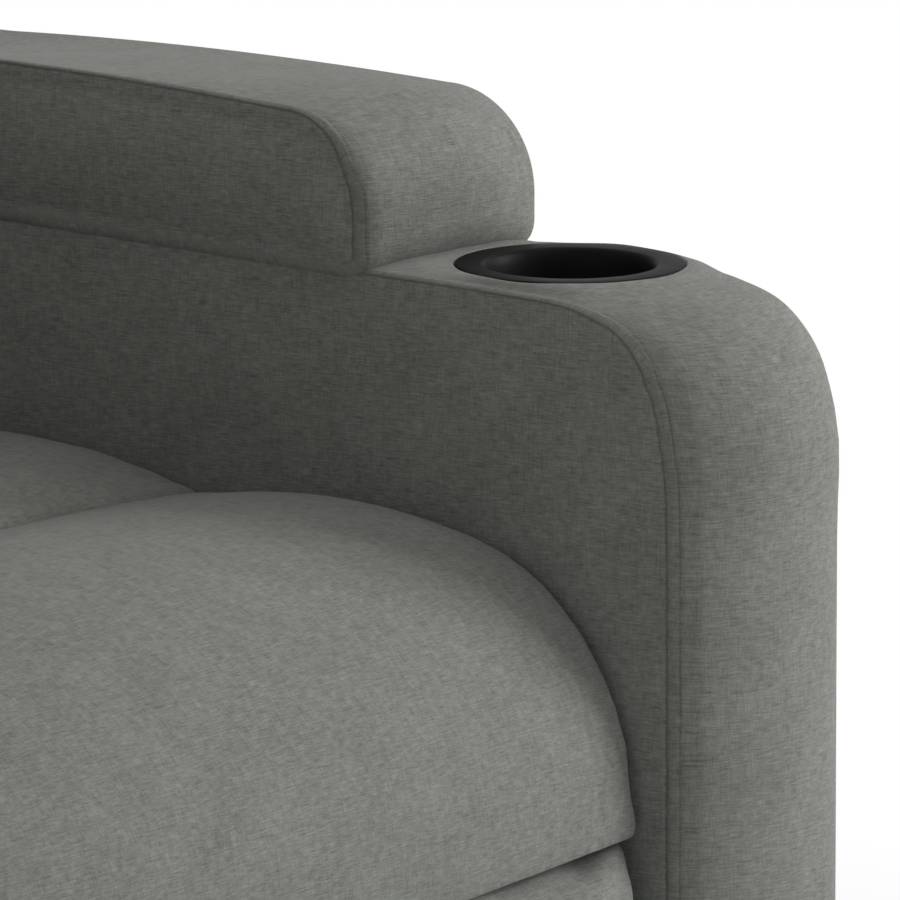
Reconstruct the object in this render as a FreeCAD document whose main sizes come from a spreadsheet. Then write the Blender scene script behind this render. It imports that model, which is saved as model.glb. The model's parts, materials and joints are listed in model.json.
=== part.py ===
import FreeCAD, Part
import math
import os
import Sketcher

# Lift recliner chair. The front faces -Y, the sitter's left is +X, Z is up and the floor is Z = 0.
# All lengths are millimetres and all angles degrees.

SIZES = {
    # Arms: upholstered boxes beside the seat
    "arm_inner": 278.0,
    "arm_width": 140.0,
    "arm_bottom": 70.0,
    "arm_front": -445.0,
    "arm_rear": 385.0,
    "arm_top": 570.5,
    "arm_slope": 2.25,
    "arm_level_start": 80.0,
    "arm_front_bulge": 28.0,
    "arm_top_crown": 8.0,
    "arm_corner_end": -319.6,
    "arm_corner_shift": 54.0,
    "arm_nose_radius": 70.0,
    "arm_nose_radius_mid": 65.0,
    "arm_nose_turn": 60.0,
    "arm_nose_turn_mid": 74.0,
    "arm_foam": 12.0,
    "arm_board": 15.0,
    "arm_frame_front": -425.0,
    "arm_frame_rear": 370.0,
    "arm_frame_bottom": 82.0,
    "arm_frame_top": 545.0,
    "arm_frame_chamfer": 75.0,
    "arm_rib_place": -140.0,
    # Armrest pads
    "pad_front": -246.6,
    "pad_rear": 335.0,
    "pad_height": 77.0,
    "pad_front_bulge": 14.0,
    "pad_crown": 10.0,
    "pad_corner": 46.0,
    # Cup holders, one in each arm in front of the pad
    "cup_place": -331.5,
    "cup_rim_radius": 59.0,
    "cup_radius": 44.0,
    "cup_depth": 66.0,
    "cup_wall": 2.5,
    "cup_rim_top": 577.5,
    "cup_rim_thickness": 5.0,
    "cup_clearance": 0.4,
    "cup_under": 8.0,
    "cup_bevel": 6.0,
    "cup_edge": 2.5,
    "cutter_reach": 10.0,
    # Control plate with two buttons on the outside of the right arm
    "control_place": -150.0,
    "control_height": 430.0,
    "control_width": 50.0,
    "control_length": 96.0,
    "control_proud": 3.0,
    "control_depth": 7.5,
    "control_floor": 2.0,
    "button_radius": 11.0,
    "button_pitch": 38.0,
    "button_proud": 4.0,
    "button_travel": 2.5,
    # Seat: timber frame, sinuous springs, one cushion with a knee roll
    "seat_gap": 5.0,
    "seat_rail_half": 262.0,
    "seat_rail_width": 24.0,
    "seat_rail_bottom": 300.0,
    "seat_rail_height": 38.0,
    "seat_front": -385.0,
    "seat_rear": 172.0,
    "seat_cushion_rear": 124.0,
    "seat_cushion_edge": 452.0,
    "seat_lobe_rise": 17.0,
    "seat_crease": -162.0,
    "seat_roll_rise": 11.0,
    "seat_roll_break": -337.0,
    "seat_roll_height": 441.0,
    "seat_nose": -417.5,
    "seat_nose_height": 325.0,
    "seat_lip": 299.0,
    "seat_crown": 12.0,
    "seat_rear_round": 24.0,
    "seat_rear_bow": 7.0,
    "seat_knee_bow": 21.0,
    "seat_front_bow": 4.0,
    "seat_lip_back": 13.0,
    "spring_count": 5,
    "spring_wire": 1.9,
    "spring_pitch": 88.0,
    "spring_loop": 34.0,
    "spring_turns": 9,
    "spring_lead": 10.0,
    "spring_bend": 8.0,
    "spring_lift": 0.2,
    "notch_depth": 11.0,
    "notch_half": 3.0,
    # Side plates, cross tubes and bolts of the chassis
    "plate_inner": 262.0,
    "plate_thickness": 4.0,
    "plate_low": 255.0,
    "plate_top": 335.0,
    "plate_nose": 24.0,
    "plate_heel": 43.0,
    "plate_taper": 70.0,
    "hinge_boss": 22.0,
    "lift_lug": 16.5,
    "tube_size": 25.0,
    "tube_top": 287.0,
    "front_tube": -255.0,
    "rear_tube": 176.0,
    "lug_thickness": 4.0,
    "lug_radius": 13.0,
    "lug_foot": 6.0,
    "bolt_radius": 4.0,
    "bolt_head_radius": 7.2,
    "bolt_head": 5.0,
    "bolt_end": 8.0,
    "bolt_room": 12.0,
    "spacer_radius": 14.0,
    "bolt_height": 277.0,
    "bolt_front": -200.0,
    "bolt_rear": 130.0,
    "running": 0.3,
    # Base frame on the floor
    "glide_radius": 20.0,
    "glide_height": 12.0,
    "rail_size": 30.0,
    "rail_centre": 221.0,
    "base_front": -370.0,
    "base_rear": 330.0,
    "lift_pivot_place": -385.0,
    "lift_pivot_height": 55.0,
    "lift_shaft_radius": 12.0,
    "lift_journal_radius": 8.0,
    "shaft_end": 3.0,
    "base_lug_thickness": 6.0,
    "base_lug_reach": 60.0,
    "base_lug_wall": 6.0,
    "press_fit": 0.1,
    # Lift actuator
    "lift_motor_place": 160.0,
    "lift_motor_height": 62.0,
    "lift_eye_place": -296.0,
    "lift_eye_height": 250.0,
    "lift_offset": 62.0,
    "lift_stroke": 110.0,
    # Recline actuator
    "recline_motor_place": -195.0,
    "recline_motor_height": 226.0,
    "recline_lever_back": 26.0,
    "recline_lever_drop": 76.0,
    "recline_offset": -62.0,
    "recline_stroke": 56.0,
    # Actuator make-up
    "outer_tube_radius": 16.0,
    "rod_radius": 8.0,
    "eye_radius": 14.0,
    "eye_width": 16.0,
    "eye_play": 1.7,
    "pin_radius": 5.0,
    "gearbox_length": 62.0,
    "gearbox_width": 50.0,
    "gearbox_start": 24.0,
    "can_radius": 23.0,
    "can_length": 92.0,
    "can_start": 30.0,
    "can_side": 43.0,
    "neck_half": 16.0,
    "motor_eye_radius": 11.2,
    "tube_short": 34.0,
    "bore_start": 90.0,
    "rod_hold": 36.0,
    "eye_shoulder": 26.0,
    "eye_flat": 8.0,
    "eye_crest": 17.0,
    "lift_eye_slot": 6.0,
    "recline_eye_slot": 4.0,
    # Backrest, drawn upright about its hinge and then leaned
    "back_hinge_place": 250.0,
    "back_hinge_height": 300.0,
    "back_lean": 12.0,
    "back_half": 272.0,
    "back_rail_half": 256.0,
    "back_rail_width": 35.0,
    "back_rail_front": 15.0,
    "back_rail_depth": 35.0,
    "back_rail_top": 735.0,
    "back_cover_thickness": 10.0,
    "back_cover_side": 12.0,
    "back_cover_low": 62.0,
    "back_top": 748.0,
    "back_corner": 40.0,
    "back_tongue": 25.0,
    "back_rail_foot": 10.0,
    "back_bar_low": 10.0,
    "back_bar_height": 50.0,
    "back_bar_middle": 330.0,
    "back_bar_step": 8.0,
    "hinge_pin_radius": 6.0,
    "hinge_head": 4.0,
    "bracket_boss": 16.0,
    "bracket_top": 90.0,
    "bracket_bend": 60.0,
    "bracket_set": 12.0,
    "strap_low": 90.0,
    "strap_high": 665.0,
    "strap_inset": 2.0,
    "strap_count": 6,
    "strap_width": 50.0,
    "strap_thickness": 2.0,
    "back_cushion_low": 75.0,
    "lumbar_top": 302.0,
    "shoulder_top": 524.0,
    "cushion_seam": 1.0,
    "back_cushion_depth": 105.0,
    "back_cushion_bulge": 66.0,
    "back_cushion_side_bulge": 30.0,
    "back_cushion_fill": 8.0,
    # Footrest linkage: crossing links that carry the front panel forward and up
    "link_length": 200.0,
    "link_half_width": 10.0,
    "link_thickness": 4.0,
    "link_layer": 6.0,
    "link_spread": 12.0,
    "link_turn": 97.0,
    "footrest_pivot_place": -328.0,
    "footrest_pivot_height": 272.0,
    "torque_tube_radius": 9.0,
    "rivet_radius": 4.0,
    "rivet_head_radius": 6.5,
    "rivet_head": 2.0,
    "head_gap": 0.4,
    "roller_radius": 5.0,
    "roller_washer": 9.0,
    "torque_journal_radius": 6.0,
    "panel_arm_top": 26.0,
    "panel_arm_low": 166.0,
    "panel_arm_foot": 8.0,
    "flange_width": 22.0,
    "flange_thickness": 3.0,
    "panel_back": -370.0,
    "board_thickness": 12.0,
    "panel_bottom": 94.0,
    "panel_top": 290.0,
    "panel_pad": 22.0,
    "panel_bulge": 21.0,
    # Rear skirt between the arms, and the power supply on the base
    "skirt_place": 372.0,
    "skirt_thickness": 12.0,
    "skirt_top": 240.0,
    "skirt_lift": 5.0,
    "supply_width": 110.0,
    "supply_depth": 60.0,
    "supply_height": 40.0,
    "supply_place": -115.0,
    "supply_forward": 10.0,
    "inlet_width": 22.0,
    "inlet_height": 14.0,
    "inlet_depth": 12.0,
}

doc = FreeCAD.newDocument("LiftRecliner")
sheet = doc.addObject("Spreadsheet::Sheet", "Sheet")


class Size:
    """A number with the sheet formula that gives it."""

    def __init__(self, value, text):
        self.value = value
        self.text = text

    def __add__(self, other):
        other = as_size(other)
        return Size(self.value + other.value, f"({self.text} + {other.text})")

    def __sub__(self, other):
        other = as_size(other)
        return Size(self.value - other.value, f"({self.text} - {other.text})")

    def __mul__(self, other):
        other = as_size(other)
        return Size(self.value * other.value, f"({self.text} * {other.text})")

    def __truediv__(self, other):
        other = as_size(other)
        return Size(self.value / other.value, f"({self.text} / {other.text})")

    def __neg__(self):
        return Size(-self.value, f"(-1 * {self.text})")

    def __radd__(self, other):
        return as_size(other) + self

    def __rsub__(self, other):
        return as_size(other) - self

    def __rmul__(self, other):
        return as_size(other) * self


def as_size(number):
    """Give a plain number the form of a Size."""
    if isinstance(number, Size):
        return number
    return Size(float(number), f"{float(number):.6f}")


def sine(angle):
    angle = as_size(angle)
    return Size(math.sin(math.radians(angle.value)), f"sin({angle.text})")


def cosine(angle):
    angle = as_size(angle)
    return Size(math.cos(math.radians(angle.value)), f"cos({angle.text})")


def root(number):
    return Size(math.sqrt(number.value), f"sqrt({number.text})")


def turn_to(across, up):
    """Turn about X that brings a part drawn along +Z into the direction (across, up) of the YZ plane."""
    angle = math.degrees(math.atan2(-across.value, up.value))
    return Size(angle, f"atan2(0 - {across.text}; {up.text})")


class Sheet:
    """The driving sizes, each an attribute with its alias as name."""


S = Sheet()
for row, (alias, amount) in enumerate(SIZES.items(), 1):
    sheet.set(f"A{row}", alias)
    sheet.set(f"B{row}", str(amount))
    sheet.setAlias(f"B{row}", alias)
    setattr(S, alias, Size(float(amount), f"Sheet.{alias}"))
doc.recompute()

NODES = {}


def bind(thing, path, size):
    """Drive one property of a document object from the sheet."""
    thing.setExpression(path, as_size(size).text)


def place(thing, base=(0, 0, 0), tilt=None):
    """Bind a placement: a base point and a turn about X."""
    if tilt is not None:
        tilt = as_size(tilt)
        axis = FreeCAD.Vector(1, 0, 0) if tilt.value >= 0 else FreeCAD.Vector(-1, 0, 0)
        angle = tilt if tilt.value >= 0 else -tilt
        thing.Placement = FreeCAD.Placement(FreeCAD.Vector(), FreeCAD.Rotation(axis, max(angle.value, 0.01)))
        bind(thing, "Placement.Rotation.Angle", angle)
    for letter, size in zip("xyz", base):
        bind(thing, f"Placement.Base.{letter}", size)
    return thing


def node(name, thing):
    """Name a finished piece, which is written to its own file."""
    thing.Label = name
    NODES[name] = thing
    return thing


def box(name, across, along, up):
    """A block from pairs of limits on X, Y and Z."""
    block = doc.addObject("Part::Box", name)
    for side, (low, high) in zip(("Length", "Width", "Height"), (across, along, up)):
        bind(block, side, as_size(high) - low)
    return place(block, (across[0], along[0], up[0]))


AXIS_TURNS = {
    "X": FreeCAD.Rotation(FreeCAD.Vector(0, 1, 0), 90),
    "Y": FreeCAD.Rotation(FreeCAD.Vector(1, 0, 0), -90),
    "Z": FreeCAD.Rotation(),
}


def cylinder(name, axis, centre, radius, start, end):
    """A cylinder along one axis; centre is its point on the two other axes, in X, Y, Z order."""
    rod = doc.addObject("Part::Cylinder", name)
    bind(rod, "Radius", radius)
    bind(rod, "Height", as_size(end) - start)
    rod.Placement = FreeCAD.Placement(FreeCAD.Vector(), AXIS_TURNS[axis])
    base = list(centre)
    base.insert("XYZ".index(axis), start)
    return place(rod, base)


def fuse(name, parts):
    union = doc.addObject("Part::MultiFuse", name)
    union.Shapes = parts
    return union


def group(name, parts):
    """Several separate solids in one piece, such as a set of bolts."""
    union = doc.addObject("Part::Compound", name)
    union.Links = parts
    return union


def cut(name, base, tools):
    result = doc.addObject("Part::Cut", name)
    result.Base = base
    result.Tool = tools[0] if len(tools) == 1 else fuse(name + "_tools", tools)
    return result


def mirrored(name, source):
    """The same piece on the other side of the chair."""
    twin = doc.addObject("Part::Mirroring", name)
    twin.Source = source
    twin.Normal = FreeCAD.Vector(1, 0, 0)
    return twin


def pair(name, source):
    return group(name, [source, mirrored(name + "_twin", source)])


def plane_sketch(body, name, role, offset):
    """A sketch on one origin plane of its body, moved along the plane's normal."""
    plane = next(item for item in body.Origin.OriginFeatures if item.Role == role)
    sketch = body.newObject("Sketcher::SketchObject", name)
    sketch.AttachmentSupport = [(plane, "")]
    sketch.MapMode = "FlatFace"
    bind(sketch, "AttachmentOffset.Base.z", offset)
    return sketch


def fix_point(sketch, edge, corner, point):
    for kind, size in zip(("DistanceX", "DistanceY"), point):
        size = as_size(size)
        number = sketch.addConstraint(Sketcher.Constraint(kind, -1, 1, edge, corner, size.value))
        sketch.setExpression(f"Constraints[{number}]", size.text)


def fix_radius(sketch, edge, radius):
    number = sketch.addConstraint(Sketcher.Constraint("Radius", edge, radius.value))
    sketch.setExpression(f"Constraints[{number}]", radius.text)


def outline(sketch, corners):
    """Draw a closed outline, counter-clockwise.

    Each corner is (u, v) or (u, v, rise), where rise is how far the edge to the next corner
    bows outward as an arc.
    """
    ends = []
    for number, corner in enumerate(corners):
        here = [as_size(size) for size in corner[:2]]
        there = [as_size(size) for size in corners[(number + 1) % len(corners)][:2]]
        start = FreeCAD.Vector(here[0].value, here[1].value, 0)
        stop = FreeCAD.Vector(there[0].value, there[1].value, 0)
        if len(corner) == 2:
            edge = sketch.addGeometry(Part.LineSegment(start, stop), False)
            ends.append((edge, 1, 2))
            fix_point(sketch, edge, 1, here)
            continue
        rise = as_size(corner[2])
        across = there[0] - here[0]
        up = there[1] - here[1]
        radius = ((across * across + up * up) / 4 + rise * rise) / (2 * rise)
        chord = stop - start
        inward = FreeCAD.Vector(-chord.y, chord.x, 0).normalize()
        centre = (start + stop) * 0.5 + inward * (radius.value - rise.value)
        first = math.atan2(start.y - centre.y, start.x - centre.x)
        last = math.atan2(stop.y - centre.y, stop.x - centre.x)
        circle = Part.Circle(centre, FreeCAD.Vector(0, 0, 1), radius.value)
        edge = sketch.addGeometry(Part.ArcOfCircle(circle, first, last), False)
        ends.append((edge, 1, 2))
        fix_point(sketch, edge, 1, here)
        fix_radius(sketch, edge, radius)
    for number, (edge, _, last) in enumerate(ends):
        following, first, _ = ends[(number + 1) % len(ends)]
        sketch.addConstraint(Sketcher.Constraint("Coincident", edge, last, following, first))


def hole(sketch, centre, radius):
    middle = FreeCAD.Vector(as_size(centre[0]).value, as_size(centre[1]).value, 0)
    radius = as_size(radius)
    edge = sketch.addGeometry(Part.Circle(middle, FreeCAD.Vector(0, 0, 1), radius.value), False)
    fix_point(sketch, edge, 3, centre)
    fix_radius(sketch, edge, radius)


def plate(name, start, thickness, corners, holes=()):
    """A flat piece drawn in side view (Y across, Z up) and padded along X."""
    body = doc.addObject("PartDesign::Body", name)
    sketch = plane_sketch(body, name + "_sketch", "YZ_Plane", start)
    outline(sketch, corners)
    for centre, radius in holes:
        hole(sketch, centre, radius)
    feature = body.newObject("PartDesign::Pad", name + "_pad")
    feature.Profile = sketch
    bind(feature, "Length", thickness)
    sketch.Visibility = False
    return body


def loft(name, sections):
    """A soft form through side-view outlines, given as (place on X, corners) from low to high X."""
    body = doc.addObject("PartDesign::Body", name)
    sketches = []
    for number, (across, corners) in enumerate(sections):
        sketch = plane_sketch(body, f"{name}_section{number}", "YZ_Plane", across)
        outline(sketch, corners)
        sketches.append(sketch)
    feature = body.newObject("PartDesign::AdditiveLoft", name + "_loft")
    feature.Profile = sketches[0]
    feature.Sections = sketches[1:]
    feature.Ruled = True
    return body


def revolve(name, corners):
    """A turned piece: corners are (radius, height), turned about Z."""
    body = doc.addObject("PartDesign::Body", name)
    sketch = plane_sketch(body, name + "_sketch", "XZ_Plane", 0)
    outline(sketch, corners)
    feature = body.newObject("PartDesign::Revolution", name + "_turn")
    feature.Profile = sketch
    feature.ReferenceAxis = (sketch, ["V_Axis"])
    feature.Angle = 360
    return body


# Arms

def arm_top_at(along):
    """Height of the arm's top seam at a place on its sloping part."""
    slope = sine(S.arm_slope) / cosine(S.arm_slope)
    return S.arm_top + (as_size(along) - S.arm_corner_end) * slope


def arm_outline(crown):
    """Side view of the arm; crown goes from 0 at the seams to 1 on the centre line."""
    front = S.arm_front - S.arm_front_bulge * crown
    corner = S.arm_corner_end - S.arm_corner_shift * crown
    rise = S.arm_top_crown * crown
    radius = S.arm_nose_radius + (S.arm_nose_radius_mid - S.arm_nose_radius) * crown
    turn = S.arm_nose_turn + (S.arm_nose_turn_mid - S.arm_nose_turn) * crown
    last = 90 - S.arm_slope
    nose_in = radius * (1 - cosine(turn))
    brow = (corner - front - nose_in) / (cosine(turn) - cosine(last))
    corner_top = arm_top_at(corner) + rise
    nose_top = corner_top - brow * (sine(last) - sine(turn))
    nose_start = nose_top - radius * sine(turn)
    half_nose = turn / 2
    half_brow = (last - turn) / 2
    level = arm_top_at(S.arm_level_start) + rise
    return [
        (front, S.arm_bottom),
        (S.arm_rear, S.arm_bottom),
        (S.arm_rear, level),
        (S.arm_level_start, level),
        (corner, corner_top, brow * (1 - cosine(half_brow))),
        (front + nose_in, nose_top, radius * (1 - cosine(half_nose))),
        (front, nose_start),
    ]


HALF_ROUND = 0.999
QUARTER_BOW = 1 - math.cos(math.radians(45))
CROWN_STEPS = (
    (0.0, 0.0), (0.12, 0.454), (0.28, 0.825), (0.42, 0.98),
    (0.58, 0.98), (0.72, 0.825), (0.88, 0.454), (1.0, 0.0),
)
CUSHION_STEPS = ((-1.0, 0.0), (-0.9, 0.5), (-0.75, 0.84), (-0.4, 1.0), (0.4, 1.0), (0.75, 0.84), (0.9, 0.5), (1.0, 0.0))


def arm_frame_outline(inset=0):
    """Side view of the plywood box in the arm, or of its hollow."""
    front = S.arm_frame_front + inset
    rear = S.arm_frame_rear - inset
    low = S.arm_frame_bottom + inset
    top = S.arm_frame_top - inset
    chamfer = S.arm_frame_chamfer - as_size(inset) * 0.6
    return [
        (front, low),
        (rear, low),
        (rear, top),
        (front + chamfer, top),
        (front, top - chamfer),
    ]


def pad_outline(crown):
    """Side view of the armrest pad."""
    front = S.pad_front - S.pad_front_bulge * crown
    low = arm_top_at(S.pad_front)
    level = arm_top_at(S.arm_level_start)
    rise = S.pad_height + S.pad_crown * crown
    shoulder = front + S.pad_corner
    top = arm_top_at(shoulder) + rise
    bow = S.pad_corner * QUARTER_BOW
    return [
        (front, low),
        (S.arm_level_start, level),
        (S.pad_rear, level),
        (S.pad_rear, level + rise),
        (S.arm_level_start, level + rise),
        (shoulder, top, bow),
        (front, top - S.pad_corner),
    ]


def arm_bolt_places():
    return [(S.bolt_front, S.bolt_height), (S.bolt_rear, S.bolt_height)]


def make_arms():
    """Both arms: plywood box, foam and cover, pad and cup holder; the right one carries the control."""
    outer = S.arm_inner + S.arm_width
    middle = S.arm_inner + S.arm_width / 2
    sections = [(S.arm_inner + S.arm_width * step, pad_outline(crown)) for step, crown in CROWN_STEPS]
    pad = node("arm_pad_left", loft("arm_pad_left_body", sections))

    cup_seat = S.cup_rim_top - S.cup_rim_thickness
    rim_hole = cylinder("cup_seat", "Z", (middle, S.cup_place), S.cup_rim_radius + S.cup_clearance,
                        cup_seat, S.cup_rim_top + S.cutter_reach)
    well = S.cup_radius + S.cup_wall + S.cup_clearance
    well_hole = cylinder("cup_well", "Z", (middle, S.cup_place), well,
                         cup_seat - S.cup_depth - S.cup_under, S.cup_rim_top)
    inner = S.arm_inner + S.arm_foam
    depth = S.arm_width - S.arm_foam * 2
    core = plate("arm_core", inner, depth, arm_frame_outline())
    bolt_holes = [
        cylinder("arm_bolt_hole", "X", (along, up), S.bolt_radius + S.running, S.plate_inner,
                 inner + S.arm_board + S.bolt_room)
        for along, up in arm_bolt_places()
    ]
    cover_sections = [(S.arm_inner + S.arm_width * step, arm_outline(crown)) for step, crown in CROWN_STEPS]
    blank = loft("arm_cover_blank", cover_sections)
    shell = cut("arm_cover_left_cut", blank, [core, pad, rim_hole, well_hole] + bolt_holes)
    node("arm_cover_left", shell)

    frame = plate("arm_frame_blank", inner, depth, arm_frame_outline())
    hollow = plate("arm_frame_hollow", inner + S.arm_board, depth - S.arm_board * 2,
                   arm_frame_outline(S.arm_board))
    rib = box("arm_frame_rib", (inner + S.arm_board, inner + depth - S.arm_board),
              (S.arm_rib_place, S.arm_rib_place + S.arm_board),
              (S.arm_frame_bottom + S.arm_board, S.arm_frame_top - S.arm_board))
    bays = cut("arm_frame_bays", hollow, [rib])
    top_hole = cylinder("arm_frame_well", "Z", (middle, S.cup_place), well,
                        S.arm_frame_top - S.cup_depth, S.arm_frame_top + S.cutter_reach)
    left_frame = cut("arm_frame_left_cut", frame, [bays, top_hole] + bolt_holes)
    node("arm_frame_left", left_frame)

    rim = S.cup_rim_top
    floor = rim - S.cup_depth
    cup_body = revolve("cup_holder_body", [
        (0, floor - S.cup_wall),
        (S.cup_radius + S.cup_wall, floor - S.cup_wall),
        (S.cup_radius + S.cup_wall, cup_seat),
        (S.cup_rim_radius, cup_seat),
        (S.cup_rim_radius, rim - S.cup_edge),
        (S.cup_rim_radius - S.cup_edge, rim),
        (S.cup_radius + S.cup_bevel, rim),
        (S.cup_radius, rim - S.cup_bevel),
        (S.cup_radius, floor),
        (0, floor),
    ])
    place(cup_body, (middle, S.cup_place, 0))
    cup = node("cup_holder_left", cup_body)

    node("arm_pad_right", mirrored("arm_pad_right_twin", pad))
    node("cup_holder_right", mirrored("cup_holder_right_twin", cup))

    wall = -outer
    recess = box("control_recess", (wall - S.cutter_reach, wall + S.control_depth),
                 (S.control_place - S.control_length / 2, S.control_place + S.control_length / 2),
                 (S.control_height - S.control_width / 2, S.control_height + S.control_width / 2))
    cover_right = mirrored("arm_cover_right_twin", shell)
    node("arm_cover_right", cut("arm_cover_right_cut", cover_right, [recess]))
    node("arm_frame_right", mirrored("arm_frame_right_twin", left_frame))

    face = wall - S.control_proud
    seat = wall + S.control_depth
    floor = seat - S.control_floor
    slab = box("control_slab", (face, seat),
               (S.control_place - S.control_length / 2, S.control_place + S.control_length / 2),
               (S.control_height - S.control_width / 2, S.control_height + S.control_width / 2))
    wells = []
    for name, side in (("button_up", -1), ("button_down", 1)):
        spot = (S.control_place + S.button_pitch / 2 * side, S.control_height)
        wells.append(cylinder(name + "_well", "X", spot, S.button_radius + S.running,
                              face - S.cutter_reach, floor))
        cap = cylinder(name + "_cap", "X", spot, S.button_radius, face - S.button_proud,
                       floor - S.button_travel - S.running)
        node(name, cap)
    node("control_plate", cut("control_plate_cut", slab, wells))


# Seat

LOOP_STEPS = 6
WIRE_SIDES = 6


def seat_outline(crown):
    """Side view of the seat cushion: rear lobe, crease, knee roll and lip."""
    rise = S.seat_crown * crown
    bottom = S.seat_rail_bottom + S.seat_rail_height
    edge = S.seat_cushion_edge + rise
    return [
        (S.seat_front, bottom),
        (S.seat_cushion_rear, bottom),
        (S.seat_cushion_rear, edge - S.seat_rear_round, S.seat_rear_bow),
        (S.seat_cushion_rear - S.seat_rear_round, edge, S.seat_lobe_rise),
        (S.seat_crease, edge - rise / 3, S.seat_roll_rise + rise / 3),
        (S.seat_roll_break, S.seat_roll_height + rise, S.seat_knee_bow),
        (S.seat_nose - rise / 3, S.seat_nose_height, S.seat_front_bow),
        (S.seat_nose + S.seat_lip_back, S.seat_lip),
        (S.seat_front, S.seat_lip),
    ]


def make_springs():
    """Path and section of one sinuous wire, which loops from the front rail to the rear rail."""
    start = S.seat_front.value + S.seat_rail_width.value
    finish = S.seat_rear.value - S.seat_rail_width.value
    height = S.seat_rail_bottom.value + S.seat_rail_height.value - S.spring_wire.value - S.spring_lift.value
    lead = S.spring_lead.value
    bend = S.spring_bend.value
    reach = S.spring_loop.value
    turns = int(S.spring_turns.value)
    pitch = (finish - start - bend * 2) / turns
    round_radius = pitch / 2
    places = [(0, start - lead), (0, start)]
    side = 1
    along = start + bend
    for _ in range(turns):
        middle = along + round_radius
        for step in range(LOOP_STEPS + 1):
            angle = math.pi * step / LOOP_STEPS
            across = reach - round_radius + round_radius * math.sin(angle)
            places.append((side * across, middle - round_radius * math.cos(angle)))
        along += pitch
        side = -side
    places += [(0, finish), (0, finish + lead)]
    points = [FreeCAD.Vector(across, along, height) for across, along in places]
    corners = []
    for step in range(WIRE_SIDES + 1):
        angle = 2 * math.pi * step / WIRE_SIDES
        corners.append(points[0] + FreeCAD.Vector(math.cos(angle), 0, math.sin(angle)) * S.spring_wire.value)
    return Part.makePolygon(points), Part.makePolygon(corners)


def make_seat():
    half = S.seat_rail_half
    low = S.seat_rail_bottom
    high = low + S.seat_rail_height
    width = S.seat_rail_width
    front = box("seat_front_rail", (-half, half), (S.seat_front, S.seat_front + width), (low, high))
    rear = box("seat_rear_rail", (-half, half), (S.seat_rear - width, S.seat_rear), (low, high))
    grooves = []
    count = int(S.spring_count.value)
    pitch = S.spring_pitch
    for number in range(count):
        across = pitch * (number - (count - 1) / 2)
        front_face = S.seat_front + width
        rear_face = S.seat_rear - width
        for name, start, end in (("front", front_face - S.notch_depth, front_face + S.cutter_reach),
                                 ("rear", rear_face - S.cutter_reach, rear_face + S.notch_depth)):
            grooves.append(box(f"spring_notch_{name}", (across - S.notch_half, across + S.notch_half),
                               (start, end), (high - S.spring_wire * 2 - S.spring_lift - S.running,
                                              high + S.cutter_reach)))
    rails = group("seat_cross_blank", [front, rear])
    node("seat_cross_rails", cut("seat_cross_rails_cut", rails, grooves))
    side = box("seat_side_rail", (half - width, half), (S.seat_front + width, S.seat_rear - width), (low, high))
    node("seat_side_rails", pair("seat_side_rails_pair", side))

    reach = S.arm_inner - S.seat_gap
    cushion = loft("seat_cushion_body", [(reach * step, seat_outline(crown)) for step, crown in CUSHION_STEPS])
    node("seat_cushion", cushion)


# Chassis

SLOT_STEPS = 14


def side_plate_corners():
    lug = S.lift_lug
    boss = S.hinge_boss
    front = S.footrest_pivot_place - S.plate_nose
    heel = S.footrest_pivot_place + S.plate_heel
    return [
        (S.lift_pivot_place, S.lift_pivot_height - lug),
        (heel, S.lift_pivot_height - lug),
        (heel, S.plate_low),
        (S.back_hinge_place - S.plate_taper, S.plate_low),
        (S.back_hinge_place, S.back_hinge_height - boss, boss * HALF_ROUND),
        (S.back_hinge_place, S.back_hinge_height + boss),
        (S.back_hinge_place - S.plate_taper, S.plate_top),
        (front, S.plate_top),
        (front, S.lift_pivot_height + lug),
        (S.lift_pivot_place, S.lift_pivot_height + lug, lug * HALF_ROUND),
    ]


def slot_point(turn):
    """Centre of the slot link's roller, when the rear link has turned by this angle."""
    half = S.link_length / 2
    lean = S.link_spread + (180 - S.link_spread * 2 - S.link_turn) / S.link_turn * turn
    along = S.footrest_pivot_place - half * sine(turn) + half * sine(lean)
    up = S.footrest_pivot_height - half * cosine(turn) - half * cosine(lean)
    return along, up


def make_slot():
    """The curved slot of the roller, as a chain of round cutters joined into one."""
    cutters = []
    radius = S.roller_radius + S.running * 2
    near = S.plate_inner - S.cutter_reach
    far = S.plate_inner + S.plate_thickness + S.cutter_reach
    for number in range(SLOT_STEPS):
        turn = S.link_turn * (number / SLOT_STEPS)
        after = S.link_turn * ((number + 1) / SLOT_STEPS)
        along, up = slot_point(turn)
        next_along, next_up = slot_point(after)
        across = next_along - along
        rise = next_up - up
        length = root(across * across + rise * rise)
        cutter = doc.addObject("Part::Box", "slot_run")
        bind(cutter, "Length", far - near)
        bind(cutter, "Width", radius * 2)
        bind(cutter, "Height", length)
        turned = turn_to(across, rise)
        place(cutter, (near, along - radius * cosine(turned), up - radius * sine(turned)), turned)
        cutters.append(cutter)
        cutters.append(cylinder("slot_joint", "X", (along, up), radius, near, far))
    cutters.append(cylinder("slot_joint", "X", slot_point(S.link_turn), radius, near, far))
    return cutters


def lug_starts(offset):
    """Where on X the two lugs begin that hold an actuator's eye between them."""
    near = S.eye_width / 2 + S.running
    return offset + near, offset - near - S.lug_thickness


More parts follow.
